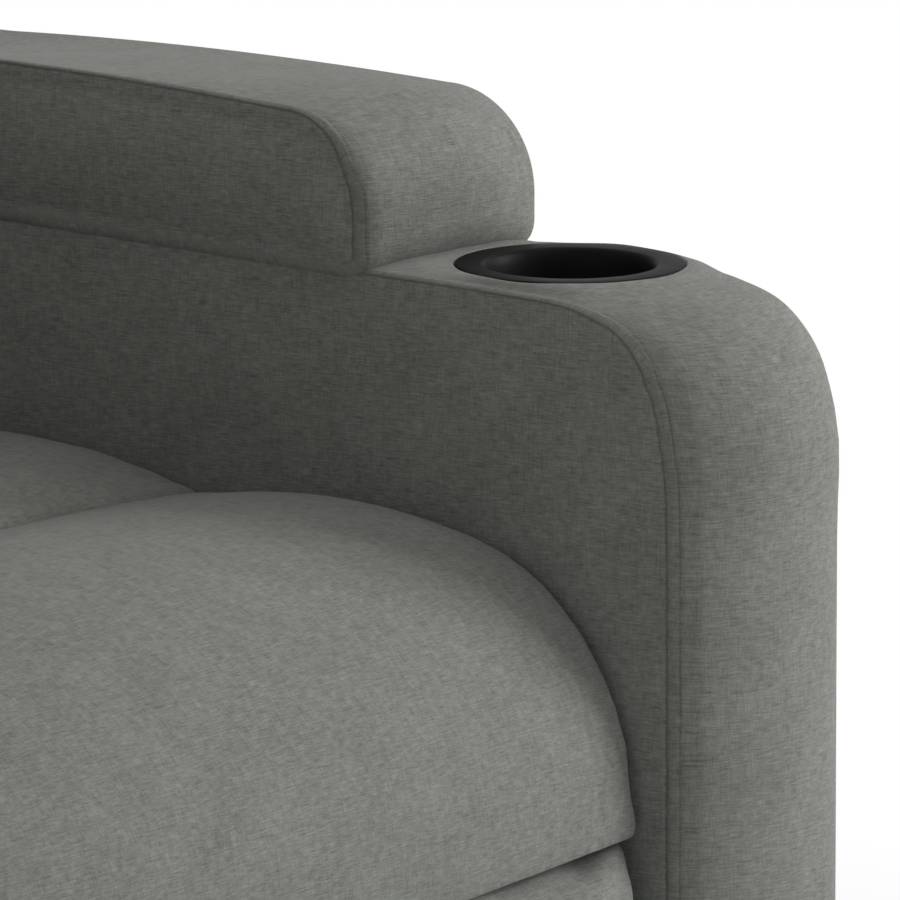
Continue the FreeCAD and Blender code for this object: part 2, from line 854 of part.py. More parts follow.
def make_chassis():
    bolt = S.bolt_radius + S.running
    blank = plate("side_plate_blank", S.plate_inner, S.plate_thickness, side_plate_corners(), [
        ((S.lift_pivot_place, S.lift_pivot_height), S.lift_journal_radius + S.running),
        ((S.footrest_pivot_place, S.footrest_pivot_height), S.torque_journal_radius + S.running),
        ((S.back_hinge_place, S.back_hinge_height), S.hinge_pin_radius + S.running),
        ((S.bolt_front, S.bolt_height), bolt),
        ((S.bolt_rear, S.bolt_height), bolt),
    ])
    slotted = cut("side_plate_left_cut", blank, make_slot())
    node("side_plate_left", slotted)
    node("side_plate_right", mirrored("side_plate_right_twin", slotted))

    reach = S.plate_inner
    low = S.tube_top - S.tube_size
    front = box("front_tube_bar", (-reach, reach), (S.front_tube, S.front_tube + S.tube_size), (low, S.tube_top))
    back = S.front_tube + S.tube_size
    radius = S.lug_radius
    lugs = []
    for start in lug_starts(S.lift_offset):
        lugs.append(plate("lift_eye_lug", start, S.lug_thickness, [
            (S.lift_eye_place, S.lift_eye_height - radius),
            (S.front_tube, low),
            (S.front_tube, S.tube_top),
            (S.front_tube - S.lug_foot, S.tube_top),
            (S.lift_eye_place, S.lift_eye_height + radius, radius * HALF_ROUND),
        ], [((S.lift_eye_place, S.lift_eye_height), S.pin_radius)]))
    for start in lug_starts(S.recline_offset):
        lugs.append(plate("recline_motor_lug", start, S.lug_thickness, [
            (back, low),
            (S.recline_motor_place, S.recline_motor_height - radius, radius * HALF_ROUND),
            (S.recline_motor_place, S.recline_motor_height + radius),
            (back, S.tube_top),
        ], [((S.recline_motor_place, S.recline_motor_height), S.pin_radius)]))
    node("front_cross_tube", fuse("front_cross_tube_fuse", [front] + lugs))
    node("rear_cross_tube", box("rear_tube_bar", (-reach, reach), (S.rear_tube, S.rear_tube + S.tube_size),
                                (low, S.tube_top)))

    half = S.eye_width / 2 + S.running + S.lug_thickness
    node("lift_eye_pin", cylinder("lift_eye_pin_rod", "X", (S.lift_eye_place, S.lift_eye_height), S.pin_radius,
                                  S.lift_offset - half, S.lift_offset + half))
    node("recline_motor_pin", cylinder("recline_motor_pin_rod", "X",
                                       (S.recline_motor_place, S.recline_motor_height), S.pin_radius,
                                       S.recline_offset - half, S.recline_offset + half))

    bolts = []
    spacers = []
    for along, up in arm_bolt_places():
        shank = cylinder("arm_bolt_shank", "X", (along, up), S.bolt_radius, S.plate_inner,
                         S.arm_inner + S.arm_foam + S.arm_board + S.bolt_end)
        head = cylinder("arm_bolt_head", "X", (along, up), S.bolt_head_radius, S.plate_inner - S.bolt_head,
                        S.plate_inner)
        bolts.append(fuse("arm_bolt", [shank, head]))
        tube = cylinder("arm_spacer_tube", "X", (along, up), S.spacer_radius, S.plate_inner + S.plate_thickness,
                        S.arm_inner)
        bore = cylinder("arm_spacer_bore", "X", (along, up), bolt, S.plate_inner, S.arm_inner + S.cutter_reach)
        spacers.append(cut("arm_spacer", tube, [bore]))
    node("arm_bolts", pair("arm_bolts_pair", group("arm_bolt_set", bolts)))
    node("arm_spacers", pair("arm_spacers_pair", group("arm_spacer_set", spacers)))

    node("rear_skirt", box("rear_skirt_board", (-S.arm_inner, S.arm_inner),
                           (S.skirt_place, S.skirt_place + S.skirt_thickness), (S.arm_bottom + S.skirt_lift, S.skirt_top)))


# Base

def make_base():
    low = S.glide_height
    high = low + S.rail_size
    inner = S.rail_centre - S.rail_size / 2
    outer = S.rail_centre + S.rail_size / 2
    rail = box("base_rail_bar", (inner, outer), (S.base_front, S.base_rear), (low, high))
    lug_radius = S.lift_shaft_radius + S.base_lug_wall
    lug_rear = S.base_front + S.base_lug_reach
    lug = plate("base_lug", inner, S.base_lug_thickness, [
        (S.lift_pivot_place, S.lift_pivot_height - lug_radius),
        (S.base_front, low),
        (lug_rear, low),
        (lug_rear, high),
        (S.lift_pivot_place, S.lift_pivot_height + lug_radius, lug_radius * HALF_ROUND),
    ])
    shaft_hole = cylinder("base_lug_hole", "X", (S.lift_pivot_place, S.lift_pivot_height),
                          S.lift_shaft_radius + S.press_fit, inner - S.cutter_reach, outer + S.cutter_reach)
    side = cut("base_side_rail", fuse("base_side_rail_blank", [rail, lug]), [shaft_hole])
    node("base_side_rails", pair("base_side_rails_pair", side))
    rear = box("base_rear_bar", (-inner, inner), (S.base_rear - S.rail_size, S.base_rear), (low, high))
    bar_front = S.lift_motor_place - S.rail_size / 2
    middle = box("base_middle_bar", (-inner, inner), (bar_front, bar_front + S.rail_size), (low, high))
    ear = S.lug_radius - 1
    lugs = [plate("lift_motor_lug", start, S.lug_thickness, [
        (bar_front, high),
        (bar_front + S.rail_size, high),
        (S.lift_motor_place + ear, S.lift_motor_height, ear * HALF_ROUND),
        (S.lift_motor_place - ear, S.lift_motor_height),
    ], [((S.lift_motor_place, S.lift_motor_height), S.pin_radius)]) for start in lug_starts(S.lift_offset)]
    node("base_cross_bars", group("base_cross_bars_set", [rear, fuse("base_motor_bar", [middle] + lugs)]))
    half = S.eye_width / 2 + S.running + S.lug_thickness
    node("lift_motor_pin", cylinder("lift_motor_pin_rod", "X", (S.lift_motor_place, S.lift_motor_height),
                                    S.pin_radius, S.lift_offset - half, S.lift_offset + half))
    barrel = cylinder("lift_shaft_barrel", "X", (S.lift_pivot_place, S.lift_pivot_height), S.lift_shaft_radius,
                      -S.plate_inner + S.running * 2, S.plate_inner - S.running * 2)
    journal = cylinder("lift_shaft_journal", "X", (S.lift_pivot_place, S.lift_pivot_height),
                       S.lift_journal_radius, -S.plate_inner - S.plate_thickness - S.shaft_end,
                       S.plate_inner + S.plate_thickness + S.shaft_end)
    node("lift_shaft", fuse("lift_shaft_fuse", [barrel, journal]))
    glides = []
    for across in (-1, 1):
        for along in (S.base_front + S.glide_radius, S.base_rear - S.glide_radius):
            glides.append(cylinder("glide", "Z", (S.rail_centre * across, along), S.glide_radius, 0, low))
    node("base_glides", group("base_glides_set", glides))
    start = S.base_rear - S.rail_size - S.supply_forward
    end = start + S.supply_depth
    centre = high + S.supply_height / 2
    case = box("supply_case", (S.supply_place - S.supply_width / 2, S.supply_place + S.supply_width / 2),
               (start, end), (high, high + S.supply_height))
    inlet = box("supply_inlet", (S.supply_place - S.inlet_width / 2, S.supply_place + S.inlet_width / 2),
                (end - S.inlet_depth, end + S.cutter_reach),
                (centre - S.inlet_height / 2, centre + S.inlet_height / 2))
    node("power_supply", cut("power_supply_cut", case, [inlet]))


# Actuators, drawn along +Z from the motor pin

def make_actuator(name, motor, eye, offset, stroke, extended, slot):
    """A motor with its tube, and the rod that runs in it.

    motor and eye are (Y, Z) of the two pins, stroke is the rod's travel, extended says that the rod
    stands out at rest, and slot is how much longer the rod's eye is than its pin, across the rod.
    """
    across = eye[0] - motor[0]
    up = eye[1] - motor[1]
    length = root(across * across + up * up)
    tilt = turn_to(across, up)
    base = (offset, motor[0], motor[1])
    width = S.gearbox_width
    tube_end = length - S.tube_short - (stroke if extended else as_size(0))
    gearbox_end = S.gearbox_start + S.gearbox_length
    gearbox = box(name + "_gearbox", (-width / 2, width / 2), (-width / 2, width / 2),
                  (S.gearbox_start, gearbox_end))
    can = cylinder(name + "_can", "Z", (0, S.can_side), S.can_radius, S.can_start, S.can_start + S.can_length)
    neck = box(name + "_neck", (-S.neck_half, S.neck_half), (0, S.can_side), (S.can_start, gearbox_end))
    tube = cylinder(name + "_tube", "Z", (0, 0), S.outer_tube_radius, S.can_start, tube_end)
    round_radius = S.motor_eye_radius
    eye_block = box(name + "_eye_block", (-S.eye_width / 2, S.eye_width / 2), (-round_radius, round_radius),
                    (0, S.can_start))
    eye_round = cylinder(name + "_eye_round", "X", (0, 0), round_radius, -S.eye_width / 2, S.eye_width / 2)
    eye_hole = cylinder(name + "_eye_hole", "X", (0, 0), S.pin_radius + S.running, -S.eye_width, S.eye_width)
    bore = cylinder(name + "_bore", "Z", (0, 0), S.rod_radius + S.running, S.bore_start, length)
    casing = fuse(name + "_casing", [gearbox, can, neck, tube, eye_block, eye_round])
    housing = cut(name + "_motor_cut", casing, [eye_hole, bore])
    place(housing, base, tilt)
    node(name + "_motor", housing)

    rod_start = tube_end - S.rod_hold - (as_size(0) if extended else stroke)
    rod = cylinder(name + "_rod_bar", "Z", (0, 0), S.rod_radius, rod_start, length - S.eye_radius)
    far_eye = plate(name + "_far_eye", -S.eye_width / 2, S.eye_width, [
        (-slot - S.eye_radius, length - S.eye_flat),
        (-S.rod_radius, length - S.eye_shoulder),
        (S.rod_radius, length - S.eye_shoulder),
        (slot + S.eye_radius, length - S.eye_flat),
        (slot + S.eye_radius, length + S.eye_flat),
        (slot / 2, length + S.eye_crest),
        (-slot / 2, length + S.eye_crest),
        (-slot - S.eye_radius, length + S.eye_flat),
    ])
    reach = S.pin_radius + S.eye_play
    window = box(name + "_eye_slot", (-S.eye_width, S.eye_width), (-slot, slot), (length - reach, length + reach))
    ends = [cylinder(name + "_slot_end", "X", (slot * side, length), reach, -S.eye_width, S.eye_width)
            for side in (-1, 1)]
    arm = cut(name + "_rod_cut", fuse(name + "_rod_blank", [rod, far_eye]), [window] + ends)
    place(arm, base, tilt)
    node(name + "_rod", arm)


def make_actuators():
    make_actuator("lift", (S.lift_motor_place, S.lift_motor_height), (S.lift_eye_place, S.lift_eye_height),
                  S.lift_offset, S.lift_stroke, False, S.lift_eye_slot)
    lever = (S.back_hinge_place + S.recline_lever_back, S.back_hinge_height - S.recline_lever_drop)
    make_actuator("recline", (S.recline_motor_place, S.recline_motor_height), lever,
                  S.recline_offset, S.recline_stroke, True, S.recline_eye_slot)


# Backrest

def back_cushion_outline(low, high, crown):
    """Side view of one roll of the backrest, in the backrest's own frame (front is -Y)."""
    rear = S.back_rail_front - S.strap_thickness - S.running
    fill = S.back_cushion_fill
    front = rear - S.back_cushion_depth - fill * crown
    bulge = S.back_cushion_side_bulge + (S.back_cushion_bulge - S.back_cushion_side_bulge) * crown
    return [
        (rear, low),
        (rear, high),
        (front, high - fill, bulge),
        (front, low + fill),
    ]


def slab(name, rear, thickness, corners):
    """A flat piece drawn in front view (X across, Z up) that reaches forward from its rear face."""
    body = doc.addObject("PartDesign::Body", name)
    sketch = plane_sketch(body, name + "_sketch", "XZ_Plane", -as_size(rear))
    outline(sketch, corners)
    feature = body.newObject("PartDesign::Pad", name + "_pad")
    feature.Profile = sketch
    bind(feature, "Length", thickness)
    return body


def rounded_top(half, low, high, corner):
    """Front view of a panel whose two top corners are round."""
    bow = as_size(corner) * QUARTER_BOW
    return [
        (-half, low),
        (half, low),
        (half, high - corner, bow),
        (half - corner, high),
        (-half + corner, high, bow),
        (-half, high - corner),
    ]


def make_back():
    hinge = (0, S.back_hinge_place, S.back_hinge_height)
    lean = -S.back_lean

    def leaned(name, thing):
        return node(name, place(thing, hinge, lean))

    front = S.back_rail_front
    rear = front + S.back_rail_depth
    half = S.back_rail_half
    inner = half - S.back_rail_width
    rail = box("back_rail", (inner, half), (front, rear), (-S.back_rail_foot, S.back_rail_top))
    leaned("back_side_rails", pair("back_side_rails_pair", rail))

    bar_rear = rear - S.back_bar_step
    bars = [box("back_cross_bar", (-inner, inner), (front, bar_rear), (low, low + S.back_bar_height))
            for low in (S.back_bar_low, S.back_bar_middle, S.back_rail_top - S.back_bar_height)]
    eye_along = S.recline_lever_back * cosine(S.back_lean) + S.recline_lever_drop * sine(S.back_lean)
    eye_up = S.recline_lever_back * sine(S.back_lean) - S.recline_lever_drop * cosine(S.back_lean)
    ear = S.lug_radius - 1
    levers = [plate("recline_lever", start, S.lug_thickness, [
        (eye_along - ear, eye_up, ear * HALF_ROUND),
        (eye_along + ear, eye_up),
        (bar_rear, S.back_bar_low),
        (front, S.back_bar_low),
    ], [((eye_along, eye_up), S.pin_radius)]) for start in lug_starts(S.recline_offset)]
    lower = fuse("back_lower_bar", [bars[0]] + levers)
    leaned("back_cross_bars", group("back_cross_bars_set", [lower, bars[1], bars[2]]))
    grip = S.eye_width / 2 + S.running + S.lug_thickness
    eye_pin = cylinder("recline_eye_pin_rod", "X", (eye_along, eye_up), S.pin_radius,
                       S.recline_offset - grip, S.recline_offset + grip)
    leaned("recline_eye_pin", group("recline_eye_pin_set", [eye_pin]))

    straps = []
    count = int(S.strap_count.value)
    pitch = (S.strap_high - S.strap_width - S.strap_low) / (count - 1)
    reach = half - S.strap_inset
    for number in range(count):
        low = S.strap_low + pitch * number
        straps.append(box("back_strap", (-reach, reach), (front - S.strap_thickness, front),
                          (low, low + S.strap_width)))
    leaned("back_straps", group("back_straps_set", straps))

    boss = S.bracket_boss
    bracket = plate("back_bracket", half, S.plate_thickness, [
        (0, -boss),
        (rear, -S.back_rail_foot),
        (rear, S.bracket_top),
        (front + S.bracket_set, S.bracket_top),
        (front, S.bracket_bend),
        (0, boss, boss * HALF_ROUND),
    ], [((0, 0), S.hinge_pin_radius)])
    leaned("back_brackets", pair("back_brackets_pair", bracket))
    shank = cylinder("back_hinge_shank", "X", (0, 0), S.hinge_pin_radius, half - S.hinge_head,
                     S.plate_inner + S.plate_thickness + S.shaft_end)
    head = cylinder("back_hinge_head", "X", (0, 0), S.hinge_pin_radius + S.hinge_head, half - S.hinge_head, half)
    leaned("back_hinge_pins", pair("back_hinge_pins_pair", fuse("back_hinge_pin", [shank, head])))

    wall = S.back_half - S.back_cover_side
    shell_rear = rear + S.back_cover_thickness
    outer = slab("back_cover_outer", shell_rear, shell_rear - front,
                 rounded_top(S.back_half, S.back_cover_low, S.back_top, S.back_corner))
    inside = box("back_cover_inside", (-wall, wall), (front - S.cutter_reach, rear),
                 (S.back_cover_low - S.cutter_reach, S.back_rail_top))
    tongue = box("back_cover_tongue", (-half, half), (rear, shell_rear), (-S.back_tongue, S.back_cover_low))
    leaned("back_cover", fuse("back_cover_fuse", [cut("back_cover_shell", outer, [inside]), tongue]))

    seam = S.cushion_seam
    rolls = {
        "lumbar_cushion": (S.back_cushion_low, S.lumbar_top),
        "shoulder_cushion": (S.lumbar_top + seam, S.shoulder_top),
        "head_cushion": (S.shoulder_top + seam, S.back_top),
    }
    for name, (low, high) in rolls.items():
        sections = [(S.back_half * step, back_cushion_outline(low, high, crown))
                    for step, crown in CUSHION_STEPS]
        leaned(name, loft(name + "_body", sections))


# Footrest linkage, folded straight down behind the front panel

def link_corners(length, half):
    """Side view of a flat link that hangs from the origin, with round ends."""
    return [
        (half, 0, half * HALF_ROUND),
        (-half, 0),
        (-half, -length, half * HALF_ROUND),
        (half, -length),
    ]


def rivet(name, spot, radius, start, end, heads):
    """A pin along X with thin heads; heads is a list of (start, end) on X."""
    parts = [cylinder(name, "X", spot, radius, start, end)]
    for low, high in heads:
        parts.append(cylinder(name + "_head", "X", spot, S.rivet_head_radius, low, high))
    return fuse(name + "_fuse", parts)


def make_footrest():
    long_link = S.link_length
    half_link = long_link / 2
    width = S.link_half_width
    thick = S.link_thickness
    pivot_y = S.footrest_pivot_place
    pivot_z = S.footrest_pivot_height
    lean = S.link_spread
    ahead = half_link * sine(lean)
    rise = half_link * cosine(lean)
    rear_layer = S.plate_inner - thick * 2
    middle_layer = rear_layer - S.link_layer
    front_layer = middle_layer - S.link_layer
    loose = S.rivet_radius + S.running
    fixed = S.rivet_radius

    middle_joint = (pivot_y, pivot_z - half_link)
    foot_joint = (pivot_y, pivot_z - long_link)
    top_joint = (pivot_y - ahead, pivot_z - half_link + rise)
    cross_joint = (pivot_y - ahead, pivot_z - long_link + rise)
    roller = (pivot_y + ahead, pivot_z - half_link - rise)

    rear_link = plate("rear_link", rear_layer, thick, link_corners(long_link, width), [
        ((0, -half_link), fixed), ((0, -long_link), fixed), ((0, 0), S.torque_journal_radius)])
    place(rear_link, (0, pivot_y, pivot_z))
    slot_link = plate("slot_link", middle_layer, thick, link_corners(long_link, width), [
        ((0, 0), fixed), ((0, -half_link), loose), ((0, -long_link), fixed)])
    place(slot_link, (0,) + top_joint, lean)
    short_link = plate("short_link", middle_layer, thick, link_corners(half_link, width), [
        ((0, 0), fixed), ((0, -half_link), loose)])
    place(short_link, (0,) + cross_joint, lean)
    board_back = pivot_y - ahead - S.panel_back
    panel_link = plate("panel_link", front_layer, thick, [
        (width, 0, width * HALF_ROUND),
        (-width, 0),
        (-board_back, -S.panel_arm_top),
        (-board_back, -S.panel_arm_low),
        (-board_back + S.panel_arm_foot, -S.panel_arm_low),
        (width, -half_link - width),
    ], [((0, 0), loose), ((0, -half_link), loose)])
    flange = box("panel_flange", (front_layer - S.flange_width, front_layer + thick),
                 (-board_back, -board_back + S.flange_thickness), (-S.panel_arm_low, -S.panel_arm_top))
    panel_arm = place(fuse("panel_arm", [panel_link, flange]), (0,) + top_joint)
    for name, piece in (("rear_link", rear_link), ("slot_link", slot_link),
                        ("short_link", short_link), ("panel_link", panel_arm)):
        node(name + "_left", piece)
        node(name + "_right", mirrored(name + "_twin", piece))

    barrel = cylinder("torque_barrel", "X", (pivot_y, pivot_z), S.torque_tube_radius, -rear_layer, rear_layer)
    journal = cylinder("torque_journal", "X", (pivot_y, pivot_z), S.torque_journal_radius,
                       -S.plate_inner - S.plate_thickness - S.shaft_end,
                       S.plate_inner + S.plate_thickness + S.shaft_end)
    node("torque_tube", fuse("torque_tube_fuse", [barrel, journal]))

    gap = S.link_layer - thick
    inner_head = (middle_layer - gap + S.head_gap, middle_layer)
    rear_pins = [rivet("rear_link_pin", spot, fixed, middle_layer, rear_layer + thick, [inner_head])
                 for spot in (middle_joint, foot_joint)]
    node("rear_link_rivets", pair("rear_link_rivets_pair", group("rear_link_rivet_set", rear_pins)))
    low_head = (front_layer - S.rivet_head, front_layer)
    high_head = (middle_layer + thick, middle_layer + thick + gap - S.head_gap)
    top_pin = rivet("top_pin", top_joint, fixed, front_layer, middle_layer + thick, [low_head, high_head])
    far = S.plate_inner + S.plate_thickness + S.running
    axle = cylinder("roller_axle", "X", roller, fixed, middle_layer, far)
    wheel = cylinder("roller_wheel", "X", roller, S.roller_radius, S.plate_inner - S.running, far)
    washer = cylinder("roller_washer", "X", roller, S.roller_washer, far, far + S.rivet_head)
    roller_pin = fuse("roller_pin", [axle, wheel, washer])
    node("slot_link_rivets", pair("slot_link_rivets_pair", group("slot_link_rivet_set", [top_pin, roller_pin])))
    cross_pin = rivet("cross_pin", cross_joint, fixed, front_layer, middle_layer + thick, [low_head, high_head])
    node("short_link_rivets", pair("short_link_rivets_pair", cross_pin))

    reach = S.arm_inner - S.seat_gap
    board_front = S.panel_back - S.board_thickness
    node("footrest_board", box("footrest_board_panel", (-reach, reach), (board_front, S.panel_back),
                               (S.panel_bottom, S.panel_top)))
    sections = []
    for step, crown in CUSHION_STEPS:
        bulge = S.panel_bulge * (0.55 + 0.45 * crown)
        sections.append((reach * step, [
            (board_front, S.panel_bottom),
            (board_front, S.panel_top),
            (board_front - S.panel_pad, S.panel_top, bulge),
            (board_front - S.panel_pad, S.panel_bottom),
        ]))
    node("footrest_pad", loft("footrest_pad_body", sections))


# The whole chair

make_arms()
make_seat()
make_chassis()
make_base()
make_actuators()
make_back()
make_footrest()
doc.recompute()

path, profile = make_springs()
sweep = path.makePipeShell([profile], True, False, 1)
wires = []
for number in range(int(S.spring_count.value)):
    wire = doc.addObject("Part::Feature", "seat_spring")
    wire.Shape = sweep
    across = S.spring_pitch * (number - (S.spring_count - 1) / 2)
    wire.Placement = FreeCAD.Placement(FreeCAD.Vector(across.value, 0, 0), FreeCAD.Rotation())
    wires.append(wire)
node("seat_springs", group("seat_springs_set", wires))
doc.recompute()

faults = [item.Name for item in doc.Objects if "Invalid" in item.State or "Error" in item.State]
for name, thing in NODES.items():
    shape = thing.Shape
    if shape.isNull() or not shape.isValid() or not shape.Solids:
        faults.append(name)
if faults:
    raise RuntimeError("These did not build: " + ", ".join(faults))

os.makedirs("parts", exist_ok=True)
for name, thing in NODES.items():
    thing.Shape.exportStep(os.path.join("parts", name + ".step"))
print(len(NODES), "pieces written")
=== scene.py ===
import json
import logging
import math
from dataclasses import dataclass, field
from enum import Enum
from typing import Callable, Optional, Sequence, Union

import bmesh
import bpy
import numpy as np
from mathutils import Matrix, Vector, noise


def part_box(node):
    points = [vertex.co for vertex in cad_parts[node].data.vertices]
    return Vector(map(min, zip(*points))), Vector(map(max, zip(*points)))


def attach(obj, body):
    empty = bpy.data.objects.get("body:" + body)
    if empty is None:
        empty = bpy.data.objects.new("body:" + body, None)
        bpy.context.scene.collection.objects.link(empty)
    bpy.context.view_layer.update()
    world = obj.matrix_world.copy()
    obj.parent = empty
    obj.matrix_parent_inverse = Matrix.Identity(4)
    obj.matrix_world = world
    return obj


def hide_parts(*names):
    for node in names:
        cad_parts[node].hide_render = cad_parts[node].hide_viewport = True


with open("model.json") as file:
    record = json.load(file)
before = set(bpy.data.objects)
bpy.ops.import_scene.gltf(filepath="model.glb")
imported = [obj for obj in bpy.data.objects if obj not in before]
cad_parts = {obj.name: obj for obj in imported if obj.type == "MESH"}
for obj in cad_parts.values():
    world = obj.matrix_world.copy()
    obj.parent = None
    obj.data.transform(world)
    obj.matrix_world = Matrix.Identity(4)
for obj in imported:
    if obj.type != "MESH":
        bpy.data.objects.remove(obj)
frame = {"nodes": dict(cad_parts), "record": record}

LOG = logging.getLogger("lift_recliner")
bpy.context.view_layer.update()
MM = 0.001

LEFT_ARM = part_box("arm_cover_left")
CUSHION_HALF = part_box("seat_cushion")[1].x / MM
BACK_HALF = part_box("back_cover")[1].x / MM
LEFT_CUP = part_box("cup_holder_left")
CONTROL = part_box("control_plate")

Pair = tuple[float, float]
Corner = tuple[float, ...]
Triple = tuple[float, float, float]


# Node helpers


class Signal:
    """A socket whose operators add Math nodes to its tree."""

    def __init__(self, tree: bpy.types.NodeTree, socket: bpy.types.NodeSocket) -> None:
        """Keep a socket and the tree it belongs to.

        Args:
            tree: Node tree of the material.
            socket: Output socket that carries the value.
        """
        self.tree = tree
        self.socket = socket

    def _math(self, operation: str, first: "Value", second: "Value" = 0.0) -> "Signal":
        """Add one Math node.

        Args:
            operation: Name of the node's operation.
            first: First input.
            second: Second input, where the operation has one.

        Returns:
            The node's result.
        """
        maker = self.tree.nodes.new("ShaderNodeMath")
        maker.operation = operation
        for socket, value in zip(maker.inputs, (first, second)):
            if isinstance(value, Signal):
                self.tree.links.new(value.socket, socket)
            else:
                socket.default_value = value
        return Signal(self.tree, maker.outputs[0])

    def __add__(self, other: "Value") -> "Signal":
        """Add a value."""
        return self._math("ADD", self, other)

    def __radd__(self, other: float) -> "Signal":
        """Add to a number."""
        return self._math("ADD", other, self)

    def __sub__(self, other: "Value") -> "Signal":
        """Take a value away."""
        return self._math("SUBTRACT", self, other)

    def __rsub__(self, other: float) -> "Signal":
        """Take away from a number."""
        return self._math("SUBTRACT", other, self)

    def __mul__(self, other: "Value") -> "Signal":
        """Multiply by a value."""
        return self._math("MULTIPLY", self, other)

    def __rmul__(self, other: float) -> "Signal":
        """Multiply a number."""
        return self._math("MULTIPLY", other, self)

    def __truediv__(self, other: "Value") -> "Signal":
        """Divide by a value."""
        return self._math("DIVIDE", self, other)

    def between(self, low: float, high: float) -> "Signal":
        """Hold the value between two limits."""
        return self._math("MAXIMUM", self._math("MINIMUM", self, high), low)

    def sine(self) -> "Signal":
        """Sine of the value."""
        return self._math("SINE", self)


Value = Union[Signal, float]
Setting = Union[Signal, float, Sequence[float]]


class Surface:
    """One material's node tree, with its Principled shader and a method that adds nodes."""

    def __init__(self, name: str) -> None:
        """Start a material.

        Args:
            name: Name of the finish.
        """
        self.material = bpy.data.materials.new(name)
        self.material.use_nodes = True
        self.tree = self.material.node_tree
        self.shader = self.tree.nodes["Principled BSDF"]

    def node(self, kind: str, settings: Optional[dict] = None, values: Optional[dict] = None,
             output: Union[int, str] = 0) -> Signal:
        """Add a node other than Math.

        Args:
            kind: Type of the node, without its ShaderNode prefix.
            settings: The node's own settings, set before its sockets.
            values: Numbers, vectors or links for its input sockets, by name or place.
            output: The output that is wanted.

        Returns:
            That output.
        """
        maker = self.tree.nodes.new("ShaderNode" + kind)
        for key, setting in (settings or {}).items():
            setattr(maker, key, setting)
        for key, value in (values or {}).items():
            self.feed(maker.inputs[key], value)
        return Signal(self.tree, maker.outputs[output])

    def feed(self, socket: bpy.types.NodeSocket, value: Setting) -> None:
        """Link a signal to a socket, or set its number.

        Args:
            socket: Input socket.
            value: Signal, number or vector.
        """
        if isinstance(value, Signal):
            self.tree.links.new(value.socket, socket)
        else:
            socket.default_value = value

    def place(self, attribute: Optional[str] = None) -> Signal:
        """Coordinates in metres: of the cloth where the mesh has them, or else of the object.

        Args:
            attribute: Name of the mesh attribute.

        Returns:
            A vector.
        """
        if attribute:
            return self.node("Attribute", {"attribute_name": attribute}, output="Vector")
        return self.node("TexCoord", output="Object")

    def mask(self, attribute: str) -> Signal:
        """A number kept on the mesh, such as the painted shade in a seam's groove."""
        return self.node("Attribute", {"attribute_name": attribute}, output="Fac")

    def stretched(self, place: Signal, scale: Triple) -> Signal:
        """Scale coordinates by a factor for each axis."""
        return self.node("VectorMath", {"operation": "MULTIPLY"}, {0: place, 1: scale})

    def grain(self, place: Signal, scale: Triple, detail: float = 2.0, roughness: float = 0.5) -> Signal:
        """Noise with a size of its own along each axis.

        Args:
            place: Coordinates in metres.
            scale: Repeats per metre along each axis.
            detail: Finer layers.
            roughness: Strength of the finer layers.

        Returns:
            A value about 0.5.
        """
        return self.node("TexNoise", {"noise_dimensions": "3D"},
                         {"Vector": self.stretched(place, scale), "Scale": 1.0, "Detail": detail,
                          "Roughness": roughness})

    def tint(self, share: Value, first: Sequence[float], second: Sequence[float]) -> Signal:
        """Blend two colours.

        Args:
            share: How much of the second.
            first: Colour at 0.
            second: Colour at 1.

        Returns:
            A colour.
        """
        return self.node("Mix", {"data_type": "RGBA"}, {0: share, 6: (*first, 1.0), 7: (*second, 1.0)}, 2)

    def relief(self, height: Signal, distance: float, strength: float = 1.0) -> None:
        """Feed the shader's normal from a height.

        Args:
            height: Height as a share of distance.
            distance: Depth in metres.
            strength: Strength of the effect.
        """
        bump = self.node("Bump", None, {"Strength": strength, "Distance": distance, "Height": height})
        self.dress({"Normal": bump})

    def dress(self, values: dict) -> None:
        """Set or link sockets of the Principled shader."""
        for key, value in values.items():
            self.feed(self.shader.inputs[key], value)


# Finishes


